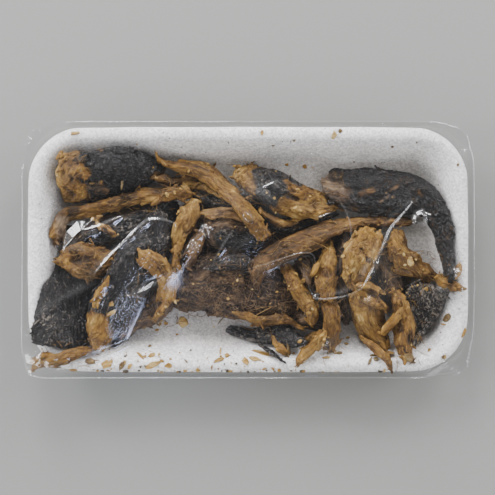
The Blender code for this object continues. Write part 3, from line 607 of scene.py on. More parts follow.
# Amber patches, pale fuzz where the fibres stand up, and the grey of smoke.
amber_noise = add_node(tree, "TexNoise", [("Vector", grain)], Scale=1 / AMBER_MM, Detail=2.0)
amber = add_node(tree, "MapRange", [("Value", amber_noise)], From_Min=0.42, From_Max=0.60,
                 To_Min=0.0, To_Max=1.0)
ambered = add_node(tree, "MixRGB", [("Fac", amber), ("Color1", flesh_ramp)],
                   blend_type="MULTIPLY", Color2=(1.0, 0.91, 0.68, 1.0))
fuzz = add_node(tree, "MapRange", [("Value", fibres)], From_Min=0.60, From_Max=0.72,
                To_Min=0.0, To_Max=0.35)
fuzzy = add_node(tree, "MixRGB", [("Fac", fuzz), ("Color1", ambered)], Color2=colour("#a08550"))
dulled = add_node(tree, "HueSaturation", [("Fac", smoke), ("Color", fuzzy)], Saturation=0.45)
mixed = add_node(tree, "MixRGB", [("Fac", char), ("Color1", dulled), ("Color2", skin_ramp)])
# The torn side is matt and fibrous, the skin side has a dull shine and deep creases.
sides = []
for height, strength, depth_mm, roughness, shine in ((fibres, 0.6, 0.6, 0.55, 0.20),
                                                     (creases, 1.0, 1.1, 0.30, 0.36)):
    bump = add_node(tree, "Bump", [("Height", height)], Strength=strength, Distance=depth_mm * MM)
    sides.append(add_node(tree, "BsdfPrincipled", [("Base Color", mixed), ("Normal", bump)],
                          Roughness=roughness, Specular_IOR_Level=shine))
surface = add_node(tree, "MixShader", [("Fac", char), (1, sides[0]), (2, sides[1])])
add_node(tree, "OutputMaterial", [("Surface", surface)])

# The bed of the heap: darker flesh and crushed ends that show only in the gaps, whose dark
# colour is painted shade for the shadow in the gaps.
for name in ("dark_bed_left", "dark_bed_middle", "dark_bed_right", "dark_filler_right",
             "dark_filler_low", "stick_behind", "flesh_fringe_low"):
    dried_piece(name, 0.20, "dark_flesh", smoke=0.4, voxel=0.55)

# The left end: a thick chunk of skin with a golden broken end, a slab of skin, a curled end.
dried_piece(
    "skin_slab_left", 0.4, "charred_skin", slivers=0.15, grey=0.31,
    pleats=((66, 332, 88, 330, 17),),
)
dried_piece("flesh_strip_corner", 0.52)
dried_piece("skin_inner_left", 0.14, "dark_flesh", smoke=0.4, skin=((90, 240, 170, 208, 9),))
dried_piece(
    "flake_inner_left", 0.60, slivers=3.0, size=((3, 7), (0.7, 1.4)), relief=1.5, streaks=0.85,
    smoke=0.12,
)
dried_piece(
    "chunk_top_left", 0.58, "charred_skin", slivers=0.5, grey=0.17, relief=1.4,
    flesh=((59, 158, 61, 198, 20), (76, 168, 85, 172, 7), (76, 190, 83, 192, 6), (92, 187, 103, 190, 4),
           (84, 149, 100, 149, 2), (160, 178, 172, 176, 7)),
    dull=((92, 187, 108, 188, 7),),
    marks=((64, 189, 71, 195, 5, -0.32, 1.3), (76, 160, 79, 163, 2, -0.25, 0.5),
           (70, 176, 73, 180, 2.2, -0.25, 0.5), (80, 181, 92, 184, 4, -0.20, 0.4),
           (72, 172, 88, 167, 3.5, 0.16, -0.5), (80, 188, 82, 196, 5, 0.14, -0.6),
           (57, 160, 66, 158, 4, 0.10, -0.2), (92, 187, 104, 189, 7, -0.22, 0.0)),
)
dried_piece(
    "curl_end_left", 0.38,
    marks=((74, 261, 88, 263, 6, -0.20, 1.6), (64, 254, 68, 268, 4, 0.12, -0.4),
           (72, 276, 92, 276, 4, 0.12, -0.3), (92, 258, 100, 266, 5, -0.14, 0.4)),
)
dried_piece(
    "strip_upper_left", 0.42, relief=0.8, streaks=0.12, grit=0.11,
    dull=((60, 222, 63, 236, 11),),
    marks=((108, 201, 118, 198, 6, -0.22, 0.4), (124, 196, 132, 194, 6, -0.20, 0.3),
           (92, 204, 98, 202, 4, -0.20, 0.2), (157, 191, 163, 193, 6, -0.20, 0.3),
           (70, 212, 84, 206, 6, -0.20, 0.2), (78, 215, 84, 210, 3, 0.20, -0.2)),
)
dried_piece("skin_tip_low", 0.4, "charred_skin", slivers=0.1)
dried_piece(
    "skin_chunk_diagonal", 0.58, "charred_skin", slivers=0.3,
    flesh=((93, 325, 101, 352, 15),),
    marks=((96, 340, 104, 346, 5, -0.20, 0.5), (90, 322, 98, 318, 5, 0.12, -0.3)),
)
dried_piece("flesh_edge_diagonal", 0.58)
dried_piece(
    "flesh_patch_diagonal", 0.56,
    marks=((138, 254, 146, 252, 5, 0.18, -0.2), (152, 262, 160, 266, 5, -0.20, 0.5),
           (166, 280, 172, 290, 5, 0.10, -0.3)),
)
dried_piece("flesh_shred_low", 0.46)

# The middle: matted dark fibres, chunks over them, and the strip that arches across.
dried_piece(
    "fibrous_mass", 0.10, "dark_flesh", slivers=2.5, size=((2, 6), (0.7, 1.2)), tangle=2.5, grit=0.36,
    streaks=0.2, smoke=0.28,
)
dried_piece("skin_under_middle", 0.3, "charred_skin", slivers=0.3)
dried_piece("dark_flesh_right", 0.24, "dark_flesh", smoke=0.4)
dried_piece("strand_under_arch", 0.34, "dark_flesh")
dried_piece("skin_under_arch", 0.4, "charred_skin", slivers=0.3)
dried_piece("flake_under_arch", 0.58)
dried_piece("centre_chunk", 0.30, "dark_flesh", smoke=0.4, skin=((224, 240, 262, 238, 9),))
dried_piece("centre_lobe", 0.28, "dark_flesh", smoke=0.1)
dried_piece("char_lump_centre", 0.2, "charred_skin", slivers=0.4)
dried_piece("centre_band", 0.46, slivers=0.4, relief=0.5, streaks=0.2, grit=0.1, smoke=0.15)
dried_piece(
    "arch_strip", 0.48, slivers=0.7, relief=0.55, streaks=0.20, grit=0.12,
    marks=((184, 164, 204, 168, 5, -0.16, 0.2), (222, 178, 232, 190, 4, 0.14, 0.0),
           (200, 160, 214, 162, 4, 0.12, 0.0)),
)
dried_piece("strip_centre_left", 0.56)

# Right of the middle: sticks of flesh that stand on end, a fin with its skin, a long strip.
dried_piece("stick_left", 0.52, relief=0.8)
dried_piece("column_low", 0.46, "dark_flesh")
dried_piece(
    "wedge_upright", 0.52, relief=0.8,
    marks=((322, 268, 334, 284, 7, -0.16, 0.2), (330, 242, 333, 252, 4, 0.14, 0.0)),
)
dried_piece("flake_upright", 0.70, relief=0.5)
dried_piece("flesh_band_low", 0.56)
dried_piece("flesh_tip_low", 0.68)
dried_piece("fin_skin", 0.4, "charred_skin", slivers=0.1)
dried_piece("flesh_edge_low", 0.52)
dried_piece("fin_tail", 0.4, "charred_skin", slivers=0.1)
dried_piece("fin_shred", 0.58)
dried_piece("sliver_top_middle", 0.42)
dried_piece(
    "chunk_top_middle", 0.56,
    skin=((263, 174, 268, 196, 11), (276, 178, 280, 190, 8), (262, 162, 300, 184, 3)),
    marks=((289, 197, 297, 199, 2.2, -0.45, 1.0), (300, 176, 312, 188, 5, -0.18, 0.2),
           (276, 212, 320, 218, 4, 0.12, -0.2), (246, 192, 258, 202, 6, -0.10, 0.0)),
)
dried_piece(
    "long_strip", 0.32, relief=0.4, streaks=0.11, grit=0.08, smoke=0.05,
    marks=((258, 256, 280, 244, 9, -0.10, 0.2), (340, 222, 362, 221, 6, 0.08, 0.0)),
)

# The right end: skin bent into a hook, and the torn flesh that it comes away from.
for name, gold in (("flesh_right", 0.42), ("flesh_right_edge", 0.54), ("flake_right_edge", 0.66)):
    dried_piece(name, gold)
dried_piece(
    "skin_hook_right", 0.22, "charred_skin", slivers=0.4, flecks=1.3, grey=0.06, relief=1.3,
    dull=((322, 178, 340, 192, 14), (380, 203, 400, 186, 6)),
    flesh=((322, 178, 340, 192, 12), (383, 201, 389, 197, 2.2), (392, 190, 398, 186, 2),
           (362, 193, 374, 190, 3)),
    marks=((383, 201, 389, 197, 3, 0.36, -0.2), (392, 190, 398, 186, 3, 0.30, -0.1),
           (362, 193, 374, 190, 4, 0.24, -0.1), (322, 178, 340, 192, 12, 0.18, 0.0),
           (330, 170, 350, 166, 5, -0.1, -0.4)),
)
dried_piece("skin_low_right", 0.38, "charred_skin", slivers=0.4, flecks=0.9, grey=0.68, relief=0.9)
dried_piece(
    "flesh_low_right", 0.50,
    marks=((400, 322, 402, 330, 3, -0.25, 0.8), (410, 336, 412, 344, 3, -0.25, 0.8),
           (399, 348, 403, 350, 3, -0.20, 0.6), (404, 352, 413, 361, 4, -0.34, 0.2)),
)
dried_piece(
    "lump_right_upper", 0.64,
    marks=((361, 249, 369, 261, 2.4, -0.45, 1.0), (352, 262, 357, 280, 4, 0.14, 0.0),
           (376, 244, 384, 256, 5, -0.16, 0.3)),
)
dried_piece(
    "plate_right_lower", 0.57, slivers=0.3, relief=0.4, streaks=0.06, grit=0.08,
    marks=((356, 336, 384, 350, 6, -0.12, 0.0),),
)
dried_piece("tail_right_lower", 0.48, relief=0.8)
dried_piece("wedge_right", 0.64, slivers=0.3, relief=0.5)
for name, gold, sunk in (("flap_right_upper", 0.66, 1.0), ("flap_right_lower", 0.62, 0.8)):
    dried_piece(name, gold, slivers=0.5, relief=0.8, marks=((369, 292, 379, 297, 3.2, -0.45, sunk),))

# ---- The crumbs ----
# Splinters and crumbs of dried flesh and char that fell off the pieces and lie on the tray.
# Each is a small flat lump; those that the photo shows one by one are placed by its pixels.

# Each crumb in the photo's pixels: its place, its length and width, and its turn in degrees.
GOLDEN_CRUMBS = (
    (75, 133, 9, 3, 0), (262, 133, 5, 2, 80), (334, 136, 9, 4, 65), (107, 364, 11, 6, 10),
    (153, 365, 17, 4, 25), (140, 356, 14, 2.4, 125), (168, 366, 8, 4, -5), (219, 360, 11, 4, 25),
    (220, 352, 10, 1.4, 85), (227, 356, 6, 3.5, 60), (264, 354, 30, 3.5, -24), (182, 323, 9, 8, 30),
    (338, 354, 7, 1.4, 0), (411, 345, 3, 1.4, 60), (464, 333, 11, 4.5, 70), (445, 325, 8, 1.4, -10),
    (445, 357, 4, 2, 80), (130, 366, 8, 2.5, 55), (152, 356, 8, 4, 40), (145, 357, 4, 2, 80),
    (430, 351, 4, 1.3, 40), (327, 358, 8, 2, 5), (162, 361, 5, 2, -30), (156, 331, 4, 2, 20),
    (73, 370, 8, 3, 15), (212, 367, 6, 1.3, 85), (246, 361, 9, 4, -40), (264, 369, 5, 1.4, 20),
    (255, 359, 12, 4, -15), (273, 369, 6, 1.6, -50), (39, 137, 5, 3, 30), (28, 139, 6, 5, 0),
)
BROWN_CRUMBS = (
    (90, 361, 11, 5, -8), (340, 131, 4, 3, 20), (370, 361, 9, 2.2, 70), (374, 356, 7, 2.2, 0),
    (376, 359, 5, 4, 30), (289, 354, 20, 4.5, -72), (122, 366, 8, 4, 50), (126, 356, 5, 1.2, 80),
    (448, 318, 11, 5, 25), (340, 354, 6, 3, 0), (220, 322, 12, 1.0, 48), (122, 182, 14, 1.8, 85),
    (92, 183, 8, 2.4, 8), (408, 357, 11, 8, 0), (149, 347, 4, 2, 30), (143, 328, 5, 3, 20),
    (39, 136, 4, 2, 40), (50, 133, 3, 2, 10), (458, 165, 3, 2, 60), (393, 146, 3, 1.5, 0),
    (184, 124, 3, 1.2, 80), (294, 140, 3, 1.5, 30), (273, 145, 3, 1.2, 0), (430, 350, 3, 1.6, 70),
    (444, 357, 5, 3, 10), (186, 361, 5, 1.2, -50),
)
# Fine crumbs are strewn at random: the field in the photo's pixels, their number, mean size.
GOLDEN_STREWN = (
    (92, 352, 175, 371, 34, 1.6), (175, 350, 350, 371, 26, 1.3), (95, 370, 440, 372, 36, 2.4),
    (30, 128, 466, 150, 12, 1.1), (120, 322, 235, 345, 14, 1.2), (150, 165, 200, 215, 14, 3.2),
    (185, 225, 260, 285, 14, 2.6), (300, 255, 360, 345, 18, 3.0), (380, 250, 430, 300, 20, 3.2),
    (108, 300, 180, 325, 12, 3.0), (245, 160, 325, 215, 16, 2.8), (182, 280, 300, 318, 16, 2.2),
)
DARK_STREWN = (
    (30, 128, 466, 372, 330, 0.9), (92, 345, 240, 371, 40, 1.1), (95, 370, 440, 372, 30, 2.0),
)
# A shard has 5 to 8 corners, and is drawn larger than its pixels, so that it shows.
SHARD_CORNERS = (5, 9)
LONGER, WIDER, THICK_MM, FLATNESS = 1.2, 1.6, 1.2, 0.55
CRUMB_GOLD = 0.84
# Nothing lies on what is lower than half the height of the tray's floor. Rays that look for
# what is highest fall from SKY. Both are in metres.
FLOOR_LEVEL = 0.004
SKY, DOWN = 0.08, Vector((0, 0, -1))
heap = [thing for thing in bpy.data.objects if thing.name.startswith(("dried_", "pressed_"))]
graph = bpy.context.evaluated_depsgraph_get()
carriers = [BVHTree.FromObject(thing, graph) for thing in heap]


def highest_below(x, y):
    """The highest surface under a place on the tray, and which way it faces."""
    best = None
    for carrier in carriers:
        hit = carrier.ray_cast(Vector((x * MM, y * MM, SKY)), DOWN)
        if hit[0] is not None and (best is None or hit[0].z > best[0].z):
            best = hit[:2]
    return best


def crumbs(name, places, fields, charred, seed):
    """Joins one kind of crumb in one piece: each is a flat shard with a broken outline."""
    draw = np.random.default_rng(seed)
    places = list(places)
    for x0, y0, x1, y1, count, size in fields:
        for _ in range(count):
            length = size * (0.6 + draw.exponential(0.5))
            places.append((draw.uniform(x0, x1), draw.uniform(y0, y1), length,
                           length * draw.uniform(0.35, 0.8), draw.uniform(0, 180)))
    made = []
    for x, y, length, width, turn in places:
        under = highest_below(*from_photo(x, y))
        if under is None or under[0].z < FLOOR_LEVEL / 2:
            continue
        length, width = LONGER * length * PIXEL_MM, WIDER * width * PIXEL_MM
        corners = int(draw.integers(*SHARD_CORNERS))
        bpy.ops.mesh.primitive_cylinder_add(vertices=corners, radius=1.0, depth=1.0)
        crumb = bpy.context.object
        points = np.array([v.co for v in crumb.data.vertices])
        angle = np.arctan2(points[:, 1], points[:, 0])
        corner = np.round(angle / math.tau * corners).astype(int) % corners
        points[:, :2] *= draw.uniform(0.65, 1.2, corners)[corner, None]
        points[:, 2] *= draw.uniform(0.4, 1.0, corners)[corner]
        points[:, :2] *= np.where(points[:, 2] > 0, 0.8, 1.0)[:, None]
        thick = min(width, THICK_MM) * FLATNESS
        points *= (length / 2, width / 2, thick)
        points[:, 2] -= 0.25 / max(length, 1) * points[:, 0] ** 2
        crumb.data.vertices.foreach_set("co", (points * MM).astype(np.float32).ravel())
        tilt = Vector((0, 0, 1)).rotation_difference(under[1])
        matrix = tilt.to_matrix().to_4x4() @ Matrix.Rotation(math.radians(turn), 4, "Z")
        matrix.translation = under[0] + under[1] * thick * 0.6 * MM
        crumb.data.transform(matrix)
        crumb.matrix_world = Matrix()
        made.append(crumb)
    bpy.ops.object.select_all(action="DESELECT")
    for crumb in made:
        crumb.select_set(True)
    bpy.context.view_layer.objects.active = made[0]
    bpy.ops.object.join()
    joined = bpy.context.object
    joined.name = name
    finish_loose(joined, charred, CRUMB_GOLD, 0.0, seed)


def finish_loose(piece, charred, gold, smoke, seed):
    """Gives loose crumbs or fibres their attributes, material and place in the frame."""
    points = points_of(piece)
    tone = gold + 0.3 * wander(points / 5, seed + 1)
    ridge = 0.4 + 0.4 * wander(points / 1.5, seed)
    make_fish(piece, points, tone, ridge, charred, smoke)
    bpy.ops.object.shade_smooth_by_angle(angle=math.radians(40))
    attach(piece, "root")


crumbs("golden_crumbs", GOLDEN_CRUMBS, GOLDEN_STREWN, 0.0, 5)
crumbs("brown_crumbs", BROWN_CRUMBS, (), 0.6, 6)
crumbs("dark_specks", (), DARK_STREWN, 0.85, 7)

# ---- The loose fibres ----
# Single dry fibres, about 0.2 mm thick, that have come off the flesh and lie over the pieces
# or stick out past their edges. On the matted middle they are short, curled and browner.

# Each field of fibres in the photo's pixels: its corners, how many, their run in degrees and
# how far they stray from it, and their mean length.
GOLDEN_FIBRES = (
    (60, 200, 190, 212, 24, 15, 25, 12), (62, 245, 108, 278, 30, 20, 60, 8),
    (56, 155, 88, 200, 30, 80, 50, 7), (185, 160, 250, 215, 40, -35, 20, 14),
    (275, 190, 330, 226, 30, 10, 25, 12), (262, 220, 400, 262, 50, 15, 18, 14),
    (345, 240, 390, 300, 40, 75, 40, 10), (392, 250, 440, 285, 40, -30, 50, 10),
    (395, 300, 422, 362, 40, -75, 25, 12), (322, 265, 342, 355, 30, -80, 20, 12),
    (136, 250, 182, 312, 30, 60, 50, 10), (88, 315, 110, 352, 24, 80, 40, 8),
    (42, 340, 95, 368, 24, 15, 30, 10), (230, 312, 305, 326, 24, -8, 25, 12),
    (285, 262, 316, 322, 20, -62, 15, 12), (322, 175, 345, 205, 14, 60, 60, 8),
    (155, 168, 190, 200, 30, 0, 50, 10),
)
MATTED_FIBRES = (
    (182, 282, 292, 316, 300, 0, 90, 9), (290, 280, 335, 320, 90, -20, 90, 9),
    (205, 250, 262, 285, 120, 10, 90, 8), (130, 312, 180, 330, 30, 30, 60, 9),
    (335, 240, 350, 320, 40, -80, 40, 9), (380, 262, 400, 300, 40, -60, 60, 8),
)
FIBRE_STEPS, FIBRE_SIDES, FIBRE_THICK_MM = 7, 4, 0.22
# How far a fibre lies above what carries it, at least, and how much more by chance.
LIFT_MM, LOOSE_MM = 0.15, 0.2


def loose_fibres(name, fields, gold, smoke, curl, seed):
    """Lays fine bent tubes over whatever is highest below them, joined in one piece."""
    draw = np.random.default_rng(seed)
    verts, faces = [], []
    for x0, y0, x1, y1, count, run, stray, mean_length in fields:
        for _ in range(count):
            x, y = draw.uniform(x0, x1), draw.uniform(y0, y1)
            turn = math.radians(run + draw.normal(0, stray))
            bend = draw.normal(0, curl)
            stride = mean_length * (0.5 + draw.exponential(0.5)) / FIBRE_STEPS
            way, levels = [], []
            for _ in range(FIBRE_STEPS):
                under = highest_below(*from_photo(x, y))
                way.append(from_photo(x, y))
                levels.append(under[0].z / MM if under else -1.0)
                x, y, turn = x + stride * math.cos(turn), y - stride * math.sin(turn), turn + bend
            if min(levels) < FLOOR_LEVEL / MM / 2:
                continue
            levels = np.array(levels)
            held = np.maximum(levels, np.interp(range(FIBRE_STEPS), (0, FIBRE_STEPS - 1),
                                                (levels[0], levels[-1])))
            held = held + LIFT_MM + draw.uniform(0, LOOSE_MM)
            way = np.column_stack([way, held])
            ahead = np.gradient(way, axis=0)
            ahead /= np.linalg.norm(ahead, axis=1)[:, None]
            beside = np.cross(ahead, (0, 0, 1))
            above = np.cross(beside, ahead)
            base = len(verts)
            thick = FIBRE_THICK_MM * draw.uniform(0.7, 1.5)
            for step in range(FIBRE_STEPS):
                swell = thick / 2 * (1 - 0.6 * abs(2 * step / (FIBRE_STEPS - 1) - 1) ** 3)
                for side in range(FIBRE_SIDES):
                    angle = math.tau * side / FIBRE_SIDES
                    verts.append(tuple((way[step] + swell * (beside[step] * math.cos(angle)
                                                             + above[step] * math.sin(angle))) * MM))
            faces += tube_faces(base, FIBRE_STEPS, FIBRE_SIDES)
    piece = new_object(name, bpy.data.meshes.new(name))
    add_to_mesh(piece.data, verts, faces)
    finish_loose(piece, 0.0, gold, smoke, seed)


loose_fibres("golden_fibres", GOLDEN_FIBRES, 0.66, 0.1, 0.14, 31)
loose_fibres("matted_fibres", MATTED_FIBRES, 0.45, 0.36, 0.40, 32)

# ---- The film ----
# Clear stretch film about 0.02 mm thick, pulled tight over the heap and the rim and welded
# under the tray. It stands in taut ridges between the pieces, where the light catches it.

FILM_MM, FILM_GAP_MM = 0.06, 0.25
# The film is free to move above this level where it faces upwards. It is first pulled tight over
# the heap and then smoothed where it spans hollows and beside its ridges.
FIRST_FREE_LEVEL, UPWARDS = 17.0, 0.2
PULLING_ROUNDS, SMOOTHING_ROUNDS = 60, 120
SMOOTHED_WIDTHS = 2.2
TAUT_LIFT_MM, TAUT_EDGE_MM = 0.7, 5.0
# It clings to the fish where it is this near, but not at the two ends of the pack.
CLING_REACH_MM, CLING_END_MM, CLING_FADE_MM = 0.3, 98.0, 4
# Each ridge in the film: its route in the photo's pixels, its height and half width in mm.
RIDGES = (
    (((84, 231), (100, 227), (122, 217)), 0.9, 1.15),
    (((33, 320), (70, 300), (106, 283)), 1.0, 3.4),
    (((205, 270), (226, 250), (248, 230)), 0.5, 3.2),
    (((212, 268), (222, 250), (232, 233)), 0.45, 0.9),
    (((214, 268), (232, 250), (248, 234)), 0.45, 0.9),
    (((96, 274), (112, 256), (130, 238)), 0.50, 1.0),
    (((122, 246), (131, 237), (140, 228), (150, 221), (162, 221), (175, 224)), 0.9, 1.15),
    (((172, 270), (150, 282), (137, 289), (128, 294)), 0.74, 1.8),
    (((182, 265), (188, 250), (200, 236), (212, 228)), 0.55, 1.0),
    (((202, 230), (208, 228)), 1.4, 1.7),
    (((191, 246), (196, 243)), 1.3, 1.6),
    (((410, 203), (392, 222), (386, 230), (380, 245), (372, 262), (366, 275), (361, 286)),
     1.15, 1.45),
    (((361, 286), (355, 290), (340, 295), (322, 297), (314, 294), (309, 286)), 0.75, 0.95),
    (((316, 298), (314, 295)), 0.6, 0.8),
    (((240, 272), (266, 265), (290, 257), (302, 254), (311, 255), (314, 262), (313, 268)), 0.6, 0.8),
    (((338, 200), (345, 213), (349, 230), (347, 250), (342, 265), (335, 275), (325, 284), (318, 292)),
     0.50, 0.95),
    (((305, 144), (311, 155), (312, 165), (308, 178)), 0.4, 0.55),
    (((262, 189), (276, 182)), 0.4, 0.55),
    (((315, 219), (333, 213)), 0.45, 0.6),
    (((445, 178), (466, 178)), 0.4, 0.55),
    (((457, 157), (465, 148)), 0.4, 0.55),
    (((57, 184), (50, 206), (29, 244)), 0.6, 0.8),
    (((58, 368), (87, 357)), 0.4, 0.6),
    (((102, 352), (130, 341), (157, 333)), 0.45, 0.65),
    (((412, 355), (440, 362), (468, 371)), 0.5, 0.7),
    (((413, 352), (430, 363)), 0.45, 0.6),
    (((430, 372), (462, 350)), 0.4, 0.55),
    (((415, 224), (419, 217), (426, 215)), 1.9, 2.5),
    (((363, 298), (368, 295)), 0.6, 0.8),
)
# A flat facet that the film forms over the hollow at the left: its crest, height and width. It
# begins small and has its full size from the middle of its crest on.
FACET = (((66, 247), (74, 238), (82, 230)), 2.5, 4.6)
FACET_START, FACET_FULL = 0.3, 0.5
# Where the film clings to greasy skin and ripples: two ends and a radius, in photo pixels.
RIPPLED = ((117, 322, 146, 256, 15), (245, 262, 262, 232, 9))
RIPPLED_EDGE_MM = 4.0
# Where it spans what lies below in one smooth sweep.
TAUT = ((112, 330, 150, 252, 17), (24, 352, 52, 354, 18))
# A ridge is steep on its left, as its route runs, and falls away slowly on its right. Its ends
# are this share of its height and width, over a quarter of its length.
SLOW_SIDE, RIDGE_END = 2.0, 0.45
# The film's faces are divided once more where they lie this many widths and this many
# millimetres from a steep ridge, or nearly.
REACH_FACTOR, REACH_LEAST = 1.5, 0.3
ROUTE_STEPS = 5
# How deep the film ripples where it clings to the fish, and its long waves, in millimetres.
CLING_MM, WAVE_MM = 0.12, 0.10


def smooth_route(route):
    """A smooth curve through a ridge's points, in millimetres (a Catmull-Rom spline)."""
    points = np.array([from_photo(*point) for point in route])
    points = np.vstack([2 * points[0] - points[1], points, 2 * points[-1] - points[-2]])
    curve = []
    for before, start, stop, after in zip(points, points[1:], points[2:], points[3:]):
        for share in np.arange(ROUTE_STEPS) / ROUTE_STEPS:
            curve.append(0.5 * (2 * start + (stop - before) * share
                                + (2 * before - 5 * start + 4 * stop - after) * share ** 2
                                + (3 * start - before - 3 * stop + after) * share ** 3))
    return np.array(curve + [points[-2]])


film = merged_copy("stretch_film", "clear_stretch_film")
shell = BVHTree.FromObject(film, bpy.context.evaluated_depsgraph_get())


def faces_above(place):
    """How many faces of the film's two skins lie straight above a point."""
    found = 0
    while True:
        hit = shell.ray_cast(place, Vector((0.001, 0.0007, 1)))
        if hit[0] is None:
            return found
        found += 1
        place = hit[0] + Vector((0, 0, 2e-6))


# The inner skin is taken off. Its faces look into the pack, where one sheet of film, which is
# two faces, lies above; outside, there are no sheets above, or two.
inner = [faces_above(face.center + face.normal * 2e-5) // 2 % 2 == 1 for face in film.data.polygons]
edit_faces(film, bpy.ops.mesh.delete, inner, type="FACE")
edit_faces(film, bpy.ops.mesh.tris_convert_to_quads)
apply_modifier(film, "SUBSURF", levels=2, render_levels=2)


def along_ridge(points, curve):
    """How far points lie from a ridge, which share of it they stand beside, and whether they
    are on its left."""
    steps = np.diff(curve, axis=0)
    lengths = np.hypot(*steps.T)
    begin = np.concatenate([[0], np.cumsum(lengths)])
    away, reach = np.full(len(points), 1e9), np.zeros(len(points))
    left = np.zeros(len(points), bool)
    for start, step, length, gone in zip(curve, steps, lengths, begin):
        offset = points[:, :2] - start
        share = np.clip(offset @ step / length ** 2, 0, 1)
        off = np.hypot(*(offset - share[:, None] * step).T)
        closer = off < away
        reach = np.where(closer, gone + share * length, reach)
        left = np.where(closer, step[0] * offset[:, 1] > step[1] * offset[:, 0], left)
        away = np.minimum(off, away)
    return away, reach / begin[-1], left


ridges = [(smooth_route(route), height, width) for route, height, width in (*RIDGES, FACET)]
centres = rows_of(film.data.polygons, "center") / MM
edit_faces(film, bpy.ops.mesh.subdivide, centres[:, 2] > FIRST_FREE_LEVEL, number_cuts=1)
centres = rows_of(film.data.polygons, "center") / MM
near = np.zeros(len(centres), bool)
for curve, height, width in ridges:
    away, _, left = along_ridge(centres, curve)
    reach = (REACH_FACTOR * width + REACH_LEAST) * np.where(left, 1.0, 1.3)
    near |= (away < reach) & (centres[:, 2] > FIRST_FREE_LEVEL) & (height > 0.4 * width)
edit_faces(film, bpy.ops.mesh.subdivide, near, number_cuts=2)

place = points_of(film)
facing = normals_of(film)
free = np.flatnonzero((facing[:, 2] > UPWARDS) & (place[:, 2] > FIRST_FREE_LEVEL))
floor_level = np.full(len(place), -1.0)
for thing, carrier in zip(heap, carriers):
    corners = points_of(thing)
    low, high = corners[:, :2].min(0) - 0.1, corners[:, :2].max(0) + 0.1
    over = free[((place[free, :2] > low) & (place[free, :2] < high)).all(1)]
    for i in over:
        hit = carrier.ray_cast(Vector((place[i, 0] * MM, place[i, 1] * MM, SKY)), DOWN)
        if hit[0] is not None:
            floor_level[i] = max(floor_level[i], hit[0].z / MM + FILM_GAP_MM)
ends = rows_of(film.data.edges, "vertices", 2, np.int32)
degree = np.bincount(ends.ravel(), minlength=len(place))
movable = np.zeros(len(place), bool)
movable[free] = True


def mean_beside(level):
    """The mean level of the points that an edge joins to each point of the film."""
    total = np.bincount(ends[:, 0], level[ends[:, 1]], len(level))
    total += np.bincount(ends[:, 1], level[ends[:, 0]], len(level))
    return total / degree


level = place[:, 2].copy()
for _ in range(PULLING_ROUNDS):
    level = np.where(movable, np.maximum(mean_beside(level), floor_level), level)
ridged = np.zeros(len(place))
for curve, _, width in ridges:
    away = along_ridge(place, curve)[0]
    ridged = np.maximum(ridged, movable * np.exp(-(away / width / SMOOTHED_WIDTHS) ** 2))
taut = movable * np.clip(patch_depth(place, TAUT) / TAUT_EDGE_MM, 0, 1)
ridged = np.maximum(ridged, taut)
for _ in range(SMOOTHING_ROUNDS):
    level += ridged * (mean_beside(level) - level)
place[:, 2] = level + TAUT_LIFT_MM * taut
crest = np.zeros(len(place))
for curve, height, width in ridges[:-1]:
    away, reach, left = along_ridge(place, curve)
    taper = RIDGE_END + (1 - RIDGE_END) * np.clip(np.minimum(reach, 1 - reach) * 4, 0, 1)
    width = width * taper * np.where(left, 1.0, SLOW_SIDE)
    swell = movable * taper * np.exp(-(away / width) ** 2)
    place[:, 2] += height * swell
    crest = np.maximum(crest, swell)
facet_crest, height, width = ridges[-1]
away, reach, left = along_ridge(place, facet_crest)
share = FACET_START + (1 - FACET_START) * np.clip(reach / FACET_FULL, 0, 1)
flank = share * width * np.where(left, 1.0, SLOW_SIDE)
place[:, 2] += movable * share * height * np.clip(1 - away / flank, 0, 1)
clinging = movable * np.exp(-((level - floor_level) / CLING_REACH_MM) ** 2) * (1 - ridged)
clinging *= np.clip((CLING_END_MM - np.abs(place[:, 0])) / CLING_FADE_MM, 0, 1)
place[:, 2] += clinging * CLING_MM * wander(place / (2.6, 2.6, 9.0), 77)
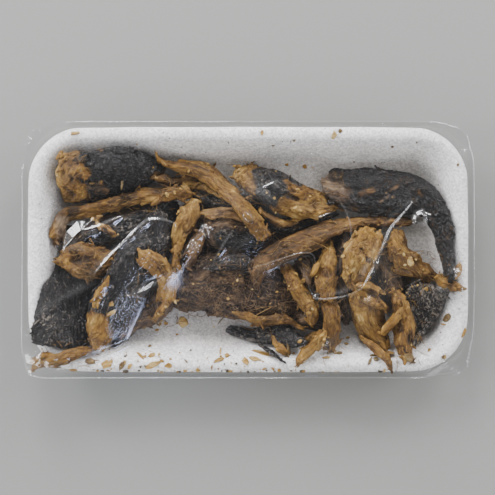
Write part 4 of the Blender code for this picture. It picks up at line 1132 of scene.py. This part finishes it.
place[:, 2] += movable * WAVE_MM * wander(place / (14.0, 14.0, 30.0), 78)
place[:, 2] = np.where(movable, np.maximum(place[:, 2], floor_level - 0.1), place[:, 2])
set_points(film, place)
rippled = np.clip(patch_depth(place, RIPPLED) / RIPPLED_EDGE_MM, 0, 1)
rippled *= (facing[:, 2] > UPWARDS) * (1 - crest)
set_attribute(film, "ripple", np.maximum(rippled, 0.2 * clinging))
apply_modifier(film, "SOLIDIFY", thickness=FILM_MM * MM, offset=-1.0)
select_only(film)
bpy.ops.object.shade_smooth()

# Stretched PVC film: clear and glossy. It mirrors 4.5% of the light where it is seen straight
# on and a tenth where it turns away, most of it sharply and a share of 0.12 with a haze.
RIPPLE_MM, RIPPLE_DEPTH_MM = 1.5, 0.45
stretched, tree = new_material("clear_pvc_film")
coordinates = add_node(tree, "TexCoord").outputs["Object"]
ripples = add_node(tree, "TexNoise", [("Vector", coordinates)], Scale=1 / (RIPPLE_MM * MM),
                   Detail=2.0)
touch = add_node(tree, "Attribute", attribute_name="ripple")
raised = add_node(tree, "Math", [(0, ripples), (1, touch.outputs["Fac"])], operation="MULTIPLY")
relief = add_node(tree, "Bump", [("Height", raised)], Strength=1.0, Distance=RIPPLE_DEPTH_MM * MM)
clear = add_node(tree, "BsdfTransparent", Color=(1, 1, 1, 1))
sharp, hazy = (add_node(tree, "BsdfGlossy", [("Normal", relief)], Color=(1, 1, 1, 1),
                        Roughness=roughness) for roughness in (0.13, 0.36))
gloss = add_node(tree, "MixShader", [(1, sharp), (2, hazy)], Fac=0.12)
turned = add_node(tree, "LayerWeight", Blend=0.5)
steep = add_node(tree, "Math", [(0, turned.outputs["Facing"])], operation="POWER")
steep.inputs[1].default_value = 4.0
edge = add_node(tree, "MapRange", [("Value", steep)], To_Min=0.045, To_Max=0.10)
both = add_node(tree, "MixShader", [("Fac", edge), (1, clear), (2, gloss)])
add_node(tree, "OutputMaterial", [("Surface", both)])
film.data.materials.append(stretched)
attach(film, "root")
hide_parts("stretch_film")
